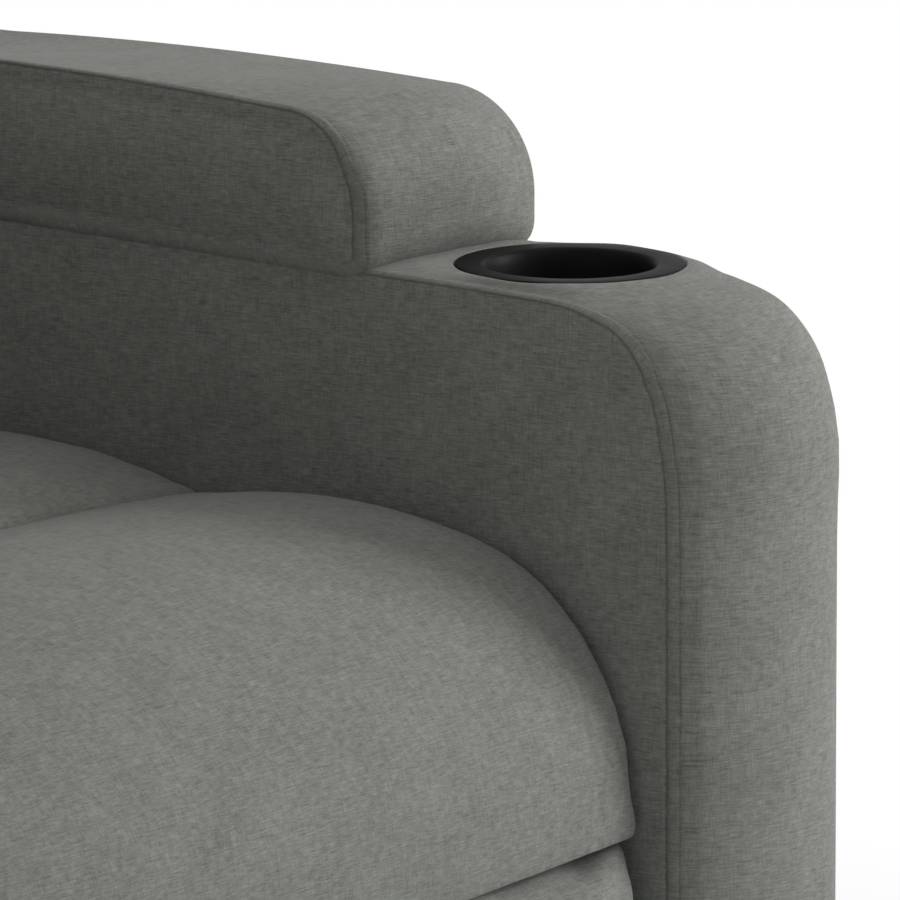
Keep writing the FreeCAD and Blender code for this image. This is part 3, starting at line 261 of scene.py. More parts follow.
@dataclass(frozen=True)
class HeatheredLinen:
    """Grey cloth of uneven yarns, crossed light and dark."""

    name: str = "heathered_linen"
    shade: Triple = (0.116, 0.1185, 0.106)
    light: Triple = (0.282, 0.287, 0.262)
    yarn: float = 0.00066
    slub: float = 0.0065
    yarn_contrast: Pair = (1.5, 0.85)
    slub_contrast: Triple = (0.6, 0.4, 0.5)
    fibre_contrast: float = 1.15
    blotch_contrast: float = 0.4
    fleck_contrast: float = 1.6
    # How much painted shade darkens the cloth in the seams' grooves and the seat's crease.
    painted_seam_shade: float = 0.55
    middle: float = 0.47
    sheen: float = 0.12
    coordinates: str = "weave"

    def make(self) -> bpy.types.Material:
        """Build the material.

        Returns:
            The finished cloth.
        """
        cloth = Surface(self.name)
        place = cloth.place(self.coordinates)
        across = 1.0 / self.yarn
        along = 1.0 / self.slub
        weft = cloth.grain(place, (along, across, 40.0), 3.0, 0.6)
        warp = cloth.grain(place, (across, along * 1.3, 47.0), 3.0, 0.6)
        long_weft = cloth.grain(place, (along * 0.4, across * 0.5, 31.0), 1.0)
        long_warp = cloth.grain(place, (across * 0.5, along * 0.4, 29.0), 1.0)
        fibre = cloth.grain(place, (across * 1.5, across * 1.5, 60.0), 2.0, 0.7)
        blotch = cloth.grain(place, (26.0, 26.0, 11.0), 3.0)
        fleck = cloth.grain(place, (across * 1.9, across * 1.9, 83.0), 0.0)
        patch = cloth.grain(place, (170.0, 170.0, 23.0), 1.0)
        yarns = (weft - 0.5) * self.yarn_contrast[0] + (warp - 0.5) * self.yarn_contrast[1]
        slubs = ((long_weft - 0.5) * self.slub_contrast[0] + (long_warp - 0.5) * self.slub_contrast[1]
                 + (patch - 0.5) * self.slub_contrast[2])
        flecks = (fleck - 0.62).between(0.0, 1.0) * self.fleck_contrast
        share = self.middle + yarns + slubs + flecks + (fibre - 0.5) * self.fibre_contrast
        # Painted shade: the seam mask darkens the cloth in the grooves and the crease, where shade falls.
        share = share + (blotch - 0.5) * self.blotch_contrast - cloth.mask("seam") * self.painted_seam_shade
        colour = cloth.tint(share.between(0.0, 1.0), self.shade, self.light)
        rough = 0.86 + (fibre - 0.5) * 0.12
        cloth.relief(yarns * 0.5 + (fibre - 0.5) * 0.3 + 0.5, 0.0007, 0.5)
        cloth.dress({"Base Color": colour, "Roughness": rough.between(0.7, 1.0), "Specular IOR Level": 0.25,
                     "Sheen Weight": self.sheen, "Sheen Roughness": 0.45})
        return cloth.material


@dataclass(frozen=True)
class Moulded:
    """Moulded plastic with a faint grain and scuffs."""

    name: str
    colour: Triple
    roughness: float = 0.38
    grain: float = 0.00004
    pores: float = 1400.0
    gloss: float = 0.5

    def make(self) -> bpy.types.Material:
        """Build the material.

        Returns:
            The finished plastic.
        """
        plastic = Surface(self.name)
        place = plastic.place()
        fine = plastic.grain(place, (self.pores,) * 3, 2.0)
        scuff = plastic.grain(place, (35.0, 35.0, 90.0), 4.0, 0.65)
        darker = tuple(part * 0.82 for part in self.colour)
        lighter = tuple(min(part * 1.22 + 0.002, 1.0) for part in self.colour)
        plastic.relief(fine, self.grain)
        plastic.dress({"Base Color": plastic.tint(scuff, darker, lighter), "Specular IOR Level": self.gloss,
                       "Roughness": (self.roughness + (scuff - 0.5) * 0.22).between(0.05, 0.95)})
        return plastic.material


@dataclass(frozen=True)
class Coated:
    """Steel under powder coat, with the coat's fine orange peel."""

    name: str = "black_powder_coat"
    colour: Triple = (0.022, 0.022, 0.024)
    roughness: float = 0.42

    def make(self) -> bpy.types.Material:
        """Build the material.

        Returns:
            The finished coat.
        """
        coat = Surface(self.name)
        place = coat.place()
        peel = coat.grain(place, (900.0,) * 3, 2.0)
        dust = coat.grain(place, (28.0,) * 3, 5.0, 0.6)
        coat.relief(peel, 0.00006)
        coat.dress({"Base Color": coat.tint((dust - 0.35) * 1.4, self.colour, (0.05, 0.05, 0.052)),
                    "Roughness": (self.roughness + (dust - 0.5) * 0.25).between(0.1, 0.9)})
        return coat.material


@dataclass(frozen=True)
class BareSteel:
    """Zinc-plated or oiled steel with fine drawing marks."""

    name: str
    colour: Triple
    roughness: float = 0.3

    def make(self) -> bpy.types.Material:
        """Build the material.

        Returns:
            The finished metal.
        """
        steel = Surface(self.name)
        place = steel.place()
        drawn = steel.grain(place, (1800.0, 1800.0, 60.0), 3.0)
        stain = steel.grain(place, (60.0,) * 3, 4.0, 0.6)
        darker = tuple(part * 0.7 for part in self.colour)
        steel.relief(drawn, 0.00002)
        steel.dress({"Base Color": steel.tint(stain, darker, self.colour), "Metallic": 1.0,
                     "Roughness": (self.roughness + (stain - 0.5) * 0.3).between(0.08, 0.8)})
        return steel.material


@dataclass(frozen=True)
class Wood:
    """Planed softwood, or plywood with its veneers, grain along one axis."""

    name: str
    early: Triple
    late: Triple
    stretch: Triple
    layers: float = 0.0

    def make(self) -> bpy.types.Material:
        """Build the material.

        Returns:
            The finished wood.
        """
        wood = Surface(self.name)
        place = wood.place()
        rings = wood.grain(place, self.stretch, 4.0, 0.6)
        pores = wood.grain(place, tuple(part * 9.0 for part in self.stretch), 2.0)
        bands = (rings * 34.0).sine() * 0.5 + 0.5
        share = bands * 0.55 + pores * 0.45
        if self.layers:
            side = wood.node("SeparateXYZ", None, {0: place}, 0)
            share = share * 0.6 + ((side * self.layers).sine() * 0.5 + 0.5) * 0.4
        wood.relief(pores, 0.00012, 0.6)
        wood.dress({"Base Color": wood.tint(share.between(0.0, 1.0), self.early, self.late),
                    "Roughness": 0.62 + pores * 0.2})
        return wood.material


@dataclass(frozen=True)
class Webbing:
    """Woven elastic, ribbed across its width."""

    name: str = "woven_elastic"
    colour: Triple = (0.035, 0.034, 0.032)
    stripe: Triple = (0.16, 0.15, 0.13)

    def make(self) -> bpy.types.Material:
        """Build the material.

        Returns:
            The finished webbing.
        """
        band = Surface(self.name)
        place = band.place()
        side = band.node("SeparateXYZ", None, {0: place}, 0)
        height = band.node("SeparateXYZ", None, {0: place}, 2)
        ribs = (side * 2400.0).sine() * 0.5 + 0.5
        rows = (height * 900.0).sine() * 0.5 + 0.5
        fibre = band.grain(place, (1500.0,) * 3, 2.0)
        share = rows * 0.25 + ribs * 0.2 + (fibre - 0.5) * 0.4
        band.relief(ribs * 0.6 + fibre * 0.4, 0.0004)
        band.dress({"Base Color": band.tint(share.between(0.0, 1.0), self.colour, self.stripe),
                    "Roughness": 0.85})
        return band.material


class Finish(Enum):
    """The finishes of the chair, each made once."""

    LINEN = HeatheredLinen()
    CUP_PLASTIC = Moulded("cup_plastic", (0.0085, 0.0085, 0.0087), 0.44, gloss=0.045)
    BLACK_PLASTIC = Moulded("black_plastic", (0.02, 0.02, 0.021), 0.45)
    BUTTON_PLASTIC = Moulded("button_plastic", (0.11, 0.11, 0.115), 0.5)
    MARK_PLASTIC = Moulded("button_mark", (0.62, 0.62, 0.6), 0.5)
    GLIDE_PLASTIC = Moulded("glide_plastic", (0.03, 0.03, 0.03), 0.6)
    MOTOR_SHELL = Moulded("motor_shell", (0.075, 0.076, 0.08), 0.5, 0.00008, 700.0)
    BLACK_STEEL = Coated()
    BRIGHT_STEEL = BareSteel("zinc_plate", (0.62, 0.62, 0.64))
    SPRING_STEEL = BareSteel("spring_wire", (0.26, 0.25, 0.24), 0.42)
    TIMBER = Wood("softwood", (0.62, 0.44, 0.25), (0.45, 0.28, 0.14), (14.0, 14.0, 14.0))
    PLYWOOD = Wood("plywood", (0.64, 0.48, 0.30), (0.46, 0.31, 0.17), (30.0, 5.0, 30.0), 2100.0)
    WEBBING = Webbing()

    def material(self) -> bpy.types.Material:
        """The material of this finish, built when it is first asked for."""
        return bpy.data.materials.get(self.value.name) or self.value.make()


SLOT_FINISHES = {
    "fabric": Finish.LINEN,
    "plywood": Finish.PLYWOOD,
    "timber": Finish.TIMBER,
    "webbing": Finish.WEBBING,
    "spring_steel": Finish.SPRING_STEEL,
    "bright_steel": Finish.BRIGHT_STEEL,
    "black_steel": Finish.BLACK_STEEL,
    "motor_grey": Finish.MOTOR_SHELL,
    "black_plastic": Finish.BLACK_PLASTIC,
    "button_plastic": Finish.BUTTON_PLASTIC,
    "glide_plastic": Finish.GLIDE_PLASTIC,
}


# Shapes


def bowed(corners: Sequence[Corner], counts: Sequence[int]) -> np.ndarray:
    """Points along a closed outline of straight and bowed edges.

    Args:
        corners: Corners as (u, v) or (u, v, rise), rise being how far the edge to the next corner bows out.
        counts: Number of points on each edge.

    Returns:
        An array of (u, v) in millimetres, counter-clockwise.
    """
    found: list[np.ndarray] = []
    for number, (corner, count) in enumerate(zip(corners, counts)):
        start = np.array(corner[:2], float)
        stop = np.array(corners[(number + 1) % len(corners)][:2], float)
        share = np.arange(count)[:, None] / count
        line = start + (stop - start) * share
        if len(corner) == 3 and abs(corner[2]) > 1e-6:
            rise = corner[2]
            chord = stop - start
            length = float(np.hypot(*chord))
            radius = (length * length / 4 + rise * rise) / (2 * rise)
            outward = np.array((chord[1], -chord[0])) / length
            centre = (start + stop) / 2 - outward * (radius - rise)
            first = math.atan2(*(start - centre)[::-1])
            last = math.atan2(*(stop - centre)[::-1])
            sweep = (last - first) % (2 * math.pi)
            angles = first + sweep * share[:, 0]
            line = centre + radius * np.stack((np.cos(angles), np.sin(angles)), 1)
        found.append(line)
    return np.concatenate(found)


def quarter_rise(radius: float) -> float:
    """How far a quarter circle bows out from its chord."""
    return radius * (1 - math.cos(math.pi / 4))


def soft_step(share: Union[float, np.ndarray]) -> Union[float, np.ndarray]:
    """Ease a share between 0 and 1 in and out."""
    return share * share * (3 - 2 * share)


def eased(points: Sequence[Pair], counts: Sequence[int]) -> np.ndarray:
    """Smooth run through points; the first and the last of them only give the run's direction.

    Args:
        points: Points of the run.
        counts: Number of steps between the inner points.

    Returns:
        The run, without its last point.
    """
    spots = np.array(points, float)
    spans = np.linalg.norm(np.diff(spots, axis=0), axis=1)[:, None]
    rates = np.diff(spots, axis=0) / spans
    slopes = (rates[:-1] * spans[1:] + rates[1:] * spans[:-1]) / (spans[:-1] + spans[1:])
    runs = []
    for number, count in enumerate(counts):
        gone = np.arange(count)[:, None] / count
        left = 1 - gone
        start, end, span = spots[number + 1], spots[number + 2], spans[number + 1]
        bend = gone * left ** 2 * slopes[number] - gone * gone * left * slopes[number + 1]
        runs.append((1 + 2 * gone) * left ** 2 * start + soft_step(gone) * end + bend * span)
    return np.concatenate(runs)


def outward(points: np.ndarray) -> np.ndarray:
    """Unit normals of a closed counter-clockwise outline.

    Args:
        points: Outline points.

    Returns:
        A normal for each point.
    """
    along = np.roll(points, -1, 0) - np.roll(points, 1, 0)
    normals = np.stack((along[:, 1], -along[:, 0]), 1)
    for _ in range(2):
        normals = normals + np.roll(normals, 1, 0) + np.roll(normals, -1, 0)
    return normals / np.linalg.norm(normals, axis=1, keepdims=True)


def run_length(points: np.ndarray) -> np.ndarray:
    """Distance along an outline at each of its points."""
    steps = np.linalg.norm(np.diff(points, axis=0), axis=1)
    return np.concatenate(((0.0,), np.cumsum(steps)))


def ripple(points: np.ndarray, size: float, height: float, seed: float) -> np.ndarray:
    """Soft unevenness of cloth over foam.

    Args:
        points: Points in millimetres.
        size: Size of a swell in millimetres.
        height: Largest height in millimetres.
        seed: Shift that makes one piece differ from another.

    Returns:
        A height for each point.
    """
    shift = Vector((seed * 17.3, seed * 5.1, seed * 9.7))
    return np.array([noise.noise(Vector(point) / size + shift) for point in points]) * height


def piece(name: str, points: np.ndarray, faces: Sequence[Sequence[int]], finish: Finish,
          weave: Optional[np.ndarray] = None, seam: Optional[np.ndarray] = None) -> bpy.types.Object:
    """Make a mesh object from points in millimetres.

    Args:
        name: Name of the piece.
        points: Its points.
        faces: Its faces.
        finish: Its finish.
        weave: Cloth coordinates in millimetres, one for each point.
        seam: Painted shade of the seams' grooves at each point, from 0 to 1.

    Returns:
        The object, in the scene.
    """
    mesh = bpy.data.meshes.new(name)
    mesh.from_pydata((points * MM).tolist(), [], [list(map(int, face)) for face in faces])
    mesh.validate()
    if weave is not None:
        store(mesh, "weave", weave * MM)
        store(mesh, "seam", np.zeros(len(points)) if seam is None else seam)
    for polygon in mesh.polygons:
        polygon.use_smooth = True
    mesh.materials.append(finish.material())
    made = bpy.data.objects.new(name, mesh)
    bpy.context.scene.collection.objects.link(made)
    return made


def store(mesh: bpy.types.Mesh, name: str, values: np.ndarray) -> None:
    """Keep a number or a vector for each point of a mesh.

    Args:
        mesh: The mesh.
        name: Name of the attribute.
        values: One value for each point.
    """
    old = mesh.attributes.get(name)
    if old:
        mesh.attributes.remove(old)
    if values.ndim == 2:
        full = np.zeros((len(values), 3), np.float32)
        full[:, :values.shape[1]] = values
        mesh.attributes.new(name, "FLOAT_VECTOR", "POINT").data.foreach_set("vector", full.ravel())
    else:
        mesh.attributes.new(name, "FLOAT", "POINT").data.foreach_set("value", values.astype(np.float32))


def ring_faces(rows: int, count: int, caps: bool = True) -> list[list[int]]:
    """Faces of a tube of closed rings that follow one another.

    Args:
        rows: Number of rings.
        count: Points on each ring.
        caps: Whether the two ends are closed.

    Returns:
        Lists of point numbers.
    """
    faces = []
    for row in range(rows - 1):
        for spot in range(count):
            after = (spot + 1) % count
            faces.append([row * count + spot, row * count + after, (row + 1) * count + after,
                          (row + 1) * count + spot])
    if caps:
        faces.append(list(range(count))[::-1])
        faces.append([(rows - 1) * count + spot for spot in range(count)])
    return faces


def coordinates(thing: bpy.types.Object) -> np.ndarray:
    """Points of a mesh object in millimetres."""
    flat = np.empty(len(thing.data.vertices) * 3)
    thing.data.vertices.foreach_get("co", flat)
    return flat.reshape(-1, 3) / MM


def move_points(thing: bpy.types.Object, points: np.ndarray) -> None:
    """Give a mesh object new points in millimetres."""
    thing.data.vertices.foreach_set("co", (points * MM).ravel())
    thing.data.update()


def normals_of(thing: bpy.types.Object) -> np.ndarray:
    """Point normals of a mesh object."""
    flat = np.empty(len(thing.data.vertices) * 3, np.float32)
    thing.data.vertex_normals.foreach_get("vector", flat)
    return flat.reshape(-1, 3).astype(float)


def settle(thing: bpy.types.Object) -> None:
    """Turn an object's modifiers into plain mesh.

    Args:
        thing: Object with modifiers.
    """
    graph = bpy.context.evaluated_depsgraph_get()
    old = thing.data
    thing.data = bpy.data.meshes.new_from_object(thing.evaluated_get(graph))
    thing.modifiers.clear()
    if not thing.data.materials:
        thing.data.materials.append(old.materials[0])


def mirrored(points: np.ndarray, faces: list[list[int]], side: int) -> tuple[np.ndarray, list[list[int]]]:
    """Put a left-hand shape on the side that is wanted.

    Args:
        points: Points of the left-hand shape.
        faces: Its faces.
        side: 1 for the left, -1 for the right.

    Returns:
        Points and faces of that side.
    """
    if side > 0:
        return points, faces
    return points * np.array((-1.0, 1.0, 1.0)), [face[::-1] for face in faces]


@dataclass
class Welt:
    """Corner where a side panel is sewn to the band.

    Each row has a distance in from the panel and one out from the edge, where the welt stands beside the
    panel and where it lies on the band.
    """

    upright: tuple[Pair, ...] = (
        (0.0, -13.0), (0.0, -11.6), (0.0, -10.6), (0.1, -9.9), (0.35, -9.3), (0.85, -8.9), (0.55, -8.4),
        (0.1, -7.6), (-0.25, -6.2), (-0.35, -4.6), (-0.25, -3.2), (-0.05, -2.1), (0.1, -1.4), (0.25, -1.0),
        (0.35, -0.9), (0.65, -1.3), (1.1, -0.45), (2.2, 0.0))
    lying: tuple[Pair, ...] = (
        (0.0, -10.0), (0.0, -7.6), (0.0, -5.6), (0.1, -4.0), (0.35, -2.8), (0.85, -2.0), (0.7, -1.5),
        (0.75, -1.1), (1.0, -0.75), (1.4, -0.45), (1.9, -0.25), (2.4, -0.1), (3.0, 0.0), (3.6, 0.0),
        (4.1, -0.02), (4.5, -0.08), (5.0, -0.02), (6.0, 0.0))
    groove: int = 5
    ditch: int = 15
    painted_ditch_shade: float = 0.9
    round_radius: float = 8.0

    def _round(self, number: int) -> Pair:
        """Place of a row where the edge is round and has no welt."""
        if number <= self.groove:
            return 0.0, self.upright[number][1]
        turn = (number - self.groove) / (len(self.upright) - 1 - self.groove) * math.pi / 2
        return self.round_radius * (1 - math.cos(turn)), self.round_radius * (math.sin(turn) - 1)

    def rows(self) -> list[tuple[Pair, Pair, Pair, float, bool]]:
        """Places of the corner's rows.

        Returns:
            Rows of the place where the welt stands, where it lies and where there is none, the painted
            shade in the seam's grooves and whether the row is on the panel.
        """
        # Painted shade: the groove beside the panel and the ditch beside the band are darkened in the colour,
        # as shade falls in them.
        dark = {self.groove: 0.8, self.groove - 1: 0.3, self.groove + 1: 0.3, self.ditch: self.painted_ditch_shade,
                self.ditch - 1: 0.3 * self.painted_ditch_shade, self.ditch + 1: 0.3 * self.painted_ditch_shade}
        return [(upright, lying, self._round(number), dark.get(number, 0.0), number <= self.groove)
                for number, (upright, lying) in enumerate(zip(self.upright, self.lying))]


def plain_corner(radius: float = 12.0) -> Welt:
    """Corner without a welt: a soft round edge with a sunk seam on the panel beside it.

    Args:
        radius: Radius of the round edge.

    Returns:
        The corner.
    """
    turns = np.linspace(0.0, math.pi / 2, 11)
    arc = tuple((radius * (1 - math.cos(turn)), radius * (math.sin(turn) - 1)) for turn in turns)
    seam = ((4.2, 0.0), (3.6, 0.0), (3.0, 0.0), (2.4, 0.25), (1.9, 0.6), (1.5, 0.8), (0.8, 0.2))
    spots = (*((inward, -radius - below) for below, inward in seam), *arc)
    # Only the sunk seam gets painted shade here; the band side has none.
    return Welt(upright=spots, lying=spots, painted_ditch_shade=0.0, round_radius=radius)


@dataclass
class BoxedForm:
    """An upholstered box: two side panels joined by a crowned band that runs round its outline."""

    outline: Callable[[float, float], np.ndarray]
    welted: np.ndarray
    grain_start: int
    start: float
    width: float
    crown_height: float
    spine: tuple[Pair, Pair]
    panel_bulge: Pair
    welt: Welt = field(default_factory=Welt)
    far_corner: Welt = field(default_factory=plain_corner)
    seed: float = 0.0
    unevenness: float = 0.5
    pillow: float = 60.0
    welt_turn: Pair = (0.45, 0.54)

    def _grain(self, edge: np.ndarray) -> np.ndarray:
        """Place of the cross yarns round an outline, counted so that all outlines agree at the front.

        Args:
            edge: Outline points.

        Returns:
            Distance along the outline, counted back from its front.
        """
        length = run_length(edge)
        return edge[self.grain_start, 1] + length[self.grain_start] - length

    def _edge(self, across: float) -> np.ndarray:
        """Outline of the band at a place across its width, which is crowned as an arc.

        Args:
            across: Distance from the near side.

        Returns:
            Outline points.
        """
        half = self.width / 2
        away = min(abs(across - half), half)
        radius = (half * half + self.crown_height ** 2) / (2 * self.crown_height)
        rise = (math.sqrt(radius * radius - away * away) - (radius - self.crown_height)) / self.crown_height
        return self.outline(max(rise, 0.0), across / self.width)

    def _level_edge(self, inward: float, far: bool) -> np.ndarray:
        """Outline at a distance in from one side of the band."""
        level = max(inward, 0.0)
        return self._edge(self.width - level if far else level)

    def _corner_rows(self, far: bool) -> list[np.ndarray]:
        """Rings of one corner, from the panel to the band; a welt stands at the front and lies on the top.

        Args:
            far: Whether it is the corner at the band's far side.

        Returns:
            Arrays of (across, u, v, weave u, weave v, painted seam shade).
        """
        edge = self._level_edge(0.0, far)
        corner = self.far_corner if far else self.welt
        wander = ripple(np.column_stack((edge, np.full(len(edge), self.seed))), 22.0, 0.3, self.seed + far)
        turned = (outward(edge)[:, 1] - self.welt_turn[0]) / self.welt_turn[1]
        turned = soft_step(np.clip(turned, 0.0, 1.0))
        faded = 1 - turned * (not far)
        rows = []
        for number, (upright, lying, plain, dark, on_panel) in enumerate(corner.rows()):
            # The painted shade of the band-side ditch fades where the welt lies on the top and light fills
            # it.
            dark = dark * (faded if number > corner.groove + 1 else 1.0)
            standing = self._level_edge(upright[0], far)
            laid = self._level_edge(lying[0], far)
            rounded = self._level_edge(plain[0], far)
            keep = self.welted
            both = np.stack((keep * (1 - turned), keep * turned, 1 - keep), 1)
            edge = standing * both[:, :1] + laid * both[:, 1:2] + rounded * both[:, 2:]
            inward = both @ np.array((upright[0], lying[0], plain[0]))
            raised = both @ np.array((upright[1], lying[1], plain[1])) + wander * (dark > 0.01) * keep
            across = self.width - inward if far else inward
            spot = edge + outward(edge) * raised[:, None]
            cloth = spot if on_panel else np.stack((across + raised, self._grain(edge)), 1)
            rows.append(np.column_stack((across, spot, cloth, dark * keep)))
        return rows

    def _depth(self, spots: np.ndarray, edge: np.ndarray) -> np.ndarray:
        """Smooth distance of points inside a panel from its rim.

        Args:
            spots: Points inside the panel.
            edge: The rim.

        Returns:
            Distances without a ridge between opposite sides.
        """
        gaps = np.linalg.norm(spots[:, None, :] - edge[None, :, :], axis=2)
        steps = np.linalg.norm(np.roll(edge, -1, 0) - edge, axis=1)
        return ((steps / np.maximum(gaps, 0.5) ** 4).sum(1) * (2 / math.pi)) ** (-1 / 3)

    def _panel_rows(self, rim: np.ndarray, far: bool) -> list[np.ndarray]:
        """Rings of a side panel, from its middle to its rim.

        Args:
            rim: The outermost ring.
            far: Whether it is the far panel.

        Returns:
            The rings, without the rim.
        """
        low, high = (np.array(point) for point in self.spine)
        axis = high - low
        share = np.clip(((rim[:, 1:3] - low) @ axis) / (axis @ axis), 0.02, 0.98)
        target = low + share[:, None] * axis
        rows = []
        for part in (0.97, 0.86, 0.72, 0.58, 0.44, 0.32, 0.22, 0.14, 0.08, 0.035):
            spot = rim[:, 1:3] * (1 - part) + target * part
            depth = np.clip(self._depth(spot, rim[:, 1:3]) / self.pillow, 0.0, 1.0)
            swell = (1 - (1 - depth) ** 2.0) * self.panel_bulge[1 if far else 0]
            points = np.column_stack((np.zeros(len(spot)), spot))
            swell = swell + ripple(points, 90.0, self.unevenness, self.seed + far) * depth
            across = rim[:, 0] + swell if far else rim[:, 0] - swell
            rows.append(np.column_stack((across, spot, spot, np.zeros(len(spot)))))
        return rows

    def rings(self) -> np.ndarray:
        """All rings of the form, from the middle of the near panel to the middle of the far one.

        Returns:
            An array of rings by points by (across, u, v, weave u, weave v, painted seam shade).
        """
        near = self._corner_rows(False)
        far = self._corner_rows(True)[::-1]
        inner = near[-1][:, 0]
        span = far[0][:, 0] - inner
        band = []
        for share in (0.02, 0.05, 0.09, 0.14, 0.2, 0.27, 0.35, 0.43, 0.5, 0.57, 0.65, 0.73, 0.8, 0.86, 0.91,
                      0.95, 0.98):
            across = inner + span * share
            edge = self._edge(float(np.median(across)))
            normals = outward(edge)
            points = np.column_stack((across, edge))
            lift = ripple(points, 75.0, self.unevenness, self.seed + 3.0) * min(share, 1 - share) * 2
            edge = edge + normals * lift[:, None]
            band.append(np.column_stack((across, edge, across, self._grain(edge), np.zeros(len(edge)))))
        rows = [*self._panel_rows(near[0], False), *near, *band, *far, *self._panel_rows(far[-1], True)[::-1]]
        return np.stack(rows)

    def stand(self, name: str, front: float, shift: float,
              placed: Optional[Callable[[np.ndarray], np.ndarray]] = None) -> bpy.types.Object:
        """Make the form as a piece that stands across the chair, its near panel to the front.

        Args:
            name: Name of the piece.
            front: Where its near panel stands.
            shift: Shift of its weave.
            placed: Puts the points in place, where they aren't drawn there.

        Returns:
            The piece.
        """
        rings = self.rings()
        flat = rings.reshape(-1, rings.shape[2])
        points = np.column_stack((flat[:, 1], front + flat[:, 0], flat[:, 2]))
        if placed:
            points = placed(points)
        return piece(name, points, ring_faces(len(rings), rings.shape[1]), Finish.LINEN,
                     flat[:, 3:5] + shift, flat[:, 5])


@dataclass
class Padding:
    """Cloth simulation that swells a closed form, with its seams held."""

    voxel: float = 5.0
    slack: float = 3.0
    pressure: float = 4.0
    cap: float = 22.0
    frames: int = 20
    smoothing: int = 4
    relax: int = 5

    def swell(self, thing: bpy.types.Object, held: Callable[[np.ndarray], np.ndarray]) -> None:
        """Remesh a piece and swell it as foam under cloth.

        Args:
            thing: Closed mesh object.
            held: Gives each point's hold, from 0, free, to 1, sewn down.
        """
        remesh = thing.modifiers.new("Remesh", "REMESH")
        remesh.mode = "VOXEL"
        remesh.voxel_size = self.voxel * MM
        remesh.use_smooth_shade = True
        smooth = thing.modifiers.new("Smooth", "SMOOTH")
        smooth.factor = 0.5
        smooth.iterations = self.smoothing
        settle(thing)
        start = coordinates(thing)
        hold = np.clip(held(start), 0.0, 1.0)
        start = start - normals_of(thing) * (self.slack * (1 - hold))[:, None]
        move_points(thing, start)
        grown = self._inflate(thing, hold)
        change = grown - start
        size = np.linalg.norm(change, axis=1, keepdims=True)
        change *= np.minimum(1.0, self.cap / np.maximum(size, 1e-6))
        move_points(thing, start + change)
        thing.vertex_groups.clear()
        calm = thing.modifiers.new("Calm", "SMOOTH")
        calm.factor = 0.5
        calm.iterations = self.relax
        finer = thing.modifiers.new("Finer", "SUBSURF")
        finer.levels = 1
        finer.render_levels = 1
        settle(thing)
        for polygon in thing.data.polygons:
            polygon.use_smooth = True

    def _inflate(self, thing: bpy.types.Object, hold: np.ndarray) -> np.ndarray:
        """Run the cloth and read where it comes to rest.

        Args:
            thing: Remeshed object.
            hold: Hold of each point.

        Returns:
            Points in millimetres.
        """
        group = thing.vertex_groups.new(name="held")
        for level in np.unique(np.round(hold, 1)):
            if level > 0:
                group.add(np.nonzero(np.round(hold, 1) == level)[0].tolist(), float(level), "REPLACE")
        cloth = thing.modifiers.new("Cloth", "CLOTH")
        cloth.settings.quality = 3
        cloth.settings.mass = 0.3
        cloth.settings.tension_stiffness = 18.0
        cloth.settings.compression_stiffness = 18.0
        cloth.settings.shear_stiffness = 8.0
        cloth.settings.bending_stiffness = 1.5
        cloth.settings.use_pressure = True
        cloth.settings.uniform_pressure_force = self.pressure
        cloth.settings.effector_weights.gravity = 0.0
        cloth.settings.vertex_group_mass = "held"
        cloth.collision_settings.use_collision = False
        cloth.point_cache.frame_start = 1
        cloth.point_cache.frame_end = self.frames
        scene = bpy.context.scene
        for number in range(1, self.frames + 1):
            scene.frame_set(number)
        graph = bpy.context.evaluated_depsgraph_get()
        solved = thing.evaluated_get(graph)
        flat = np.empty(len(solved.data.vertices) * 3)
        solved.data.vertices.foreach_get("co", flat)
        thing.modifiers.remove(cloth)
        scene.frame_set(1)
        return flat.reshape(-1, 3) / MM


def sewn_cloth(thing: bpy.types.Object, profile: np.ndarray) -> None:
    """Lay the weave along a cushion's profile, and flat on its two sides.

    Args:
        thing: The cushion.
        profile: Points of its side view in millimetres.
    """
    points = coordinates(thing)
    flat = points[:, 1:]
    fine = np.concatenate([profile, profile[:1]])
    length = run_length(fine)
    best = np.full(len(flat), np.inf)
    place = np.zeros(len(flat))
    for number in range(len(fine) - 1):
        start, step = fine[number], fine[number + 1] - fine[number]
        size = float(step @ step)
        if size < 1e-9:
            continue
        share = np.clip(((flat - start) @ step) / size, 0.0, 1.0)
        gap = np.linalg.norm(flat - start - share[:, None] * step, axis=1)
        nearer = gap < best
        best[nearer] = gap[nearer]
        place[nearer] = length[number] + share[nearer] * math.sqrt(size)
    weave = np.column_stack((points[:, 0], place))
    sideways = np.abs(normals_of(thing)[:, 0]) > 0.93
    weave[sideways] = flat[sideways]
    store(thing.data, "weave", weave * MM)
    store(thing.data, "seam", np.zeros(len(points)))


def lofted(name: str, sections: Sequence[tuple[float, np.ndarray]]) -> bpy.types.Object:
    """A closed cushion blank through side views that stand at places on X.

    Args:
        name: Name of the piece.
        sections: Pairs of X and outline points, from low to high X.

    Returns:
        The blank.
    """
    rings = [np.column_stack((np.full(len(edge), across), edge)) for across, edge in sections]
    points = np.concatenate(rings)
    faces = ring_faces(len(rings), len(rings[0]))
    return piece(name, points, [face[::-1] for face in faces], Finish.LINEN)


def crowned_steps(half: float, flat: float = 0.45) -> list[tuple[float, float]]:
    """Places across a cushion with the share of its crown at each.

    Args:
        half: Half of the cushion's width.
        flat: How square the crown's plan is.

    Returns:
        Pairs of X and share, from low to high X.
    """
    steps = np.sin(np.linspace(-1.0, 1.0, 33) * math.pi / 2)
    return [(half * float(step), (1.0 - abs(float(step)) ** 2.0) ** flat if abs(step) < 1 else 0.0)
            for step in steps]


def rise_at_sides(points: np.ndarray, half: float) -> np.ndarray:
    """Share of the seat crease's rise at each point: none in the middle, all of it at the sides."""
    return np.clip((np.abs(points[:, 0]) / half - 0.4) / 0.6, 0.0, 1.0)


# The chair


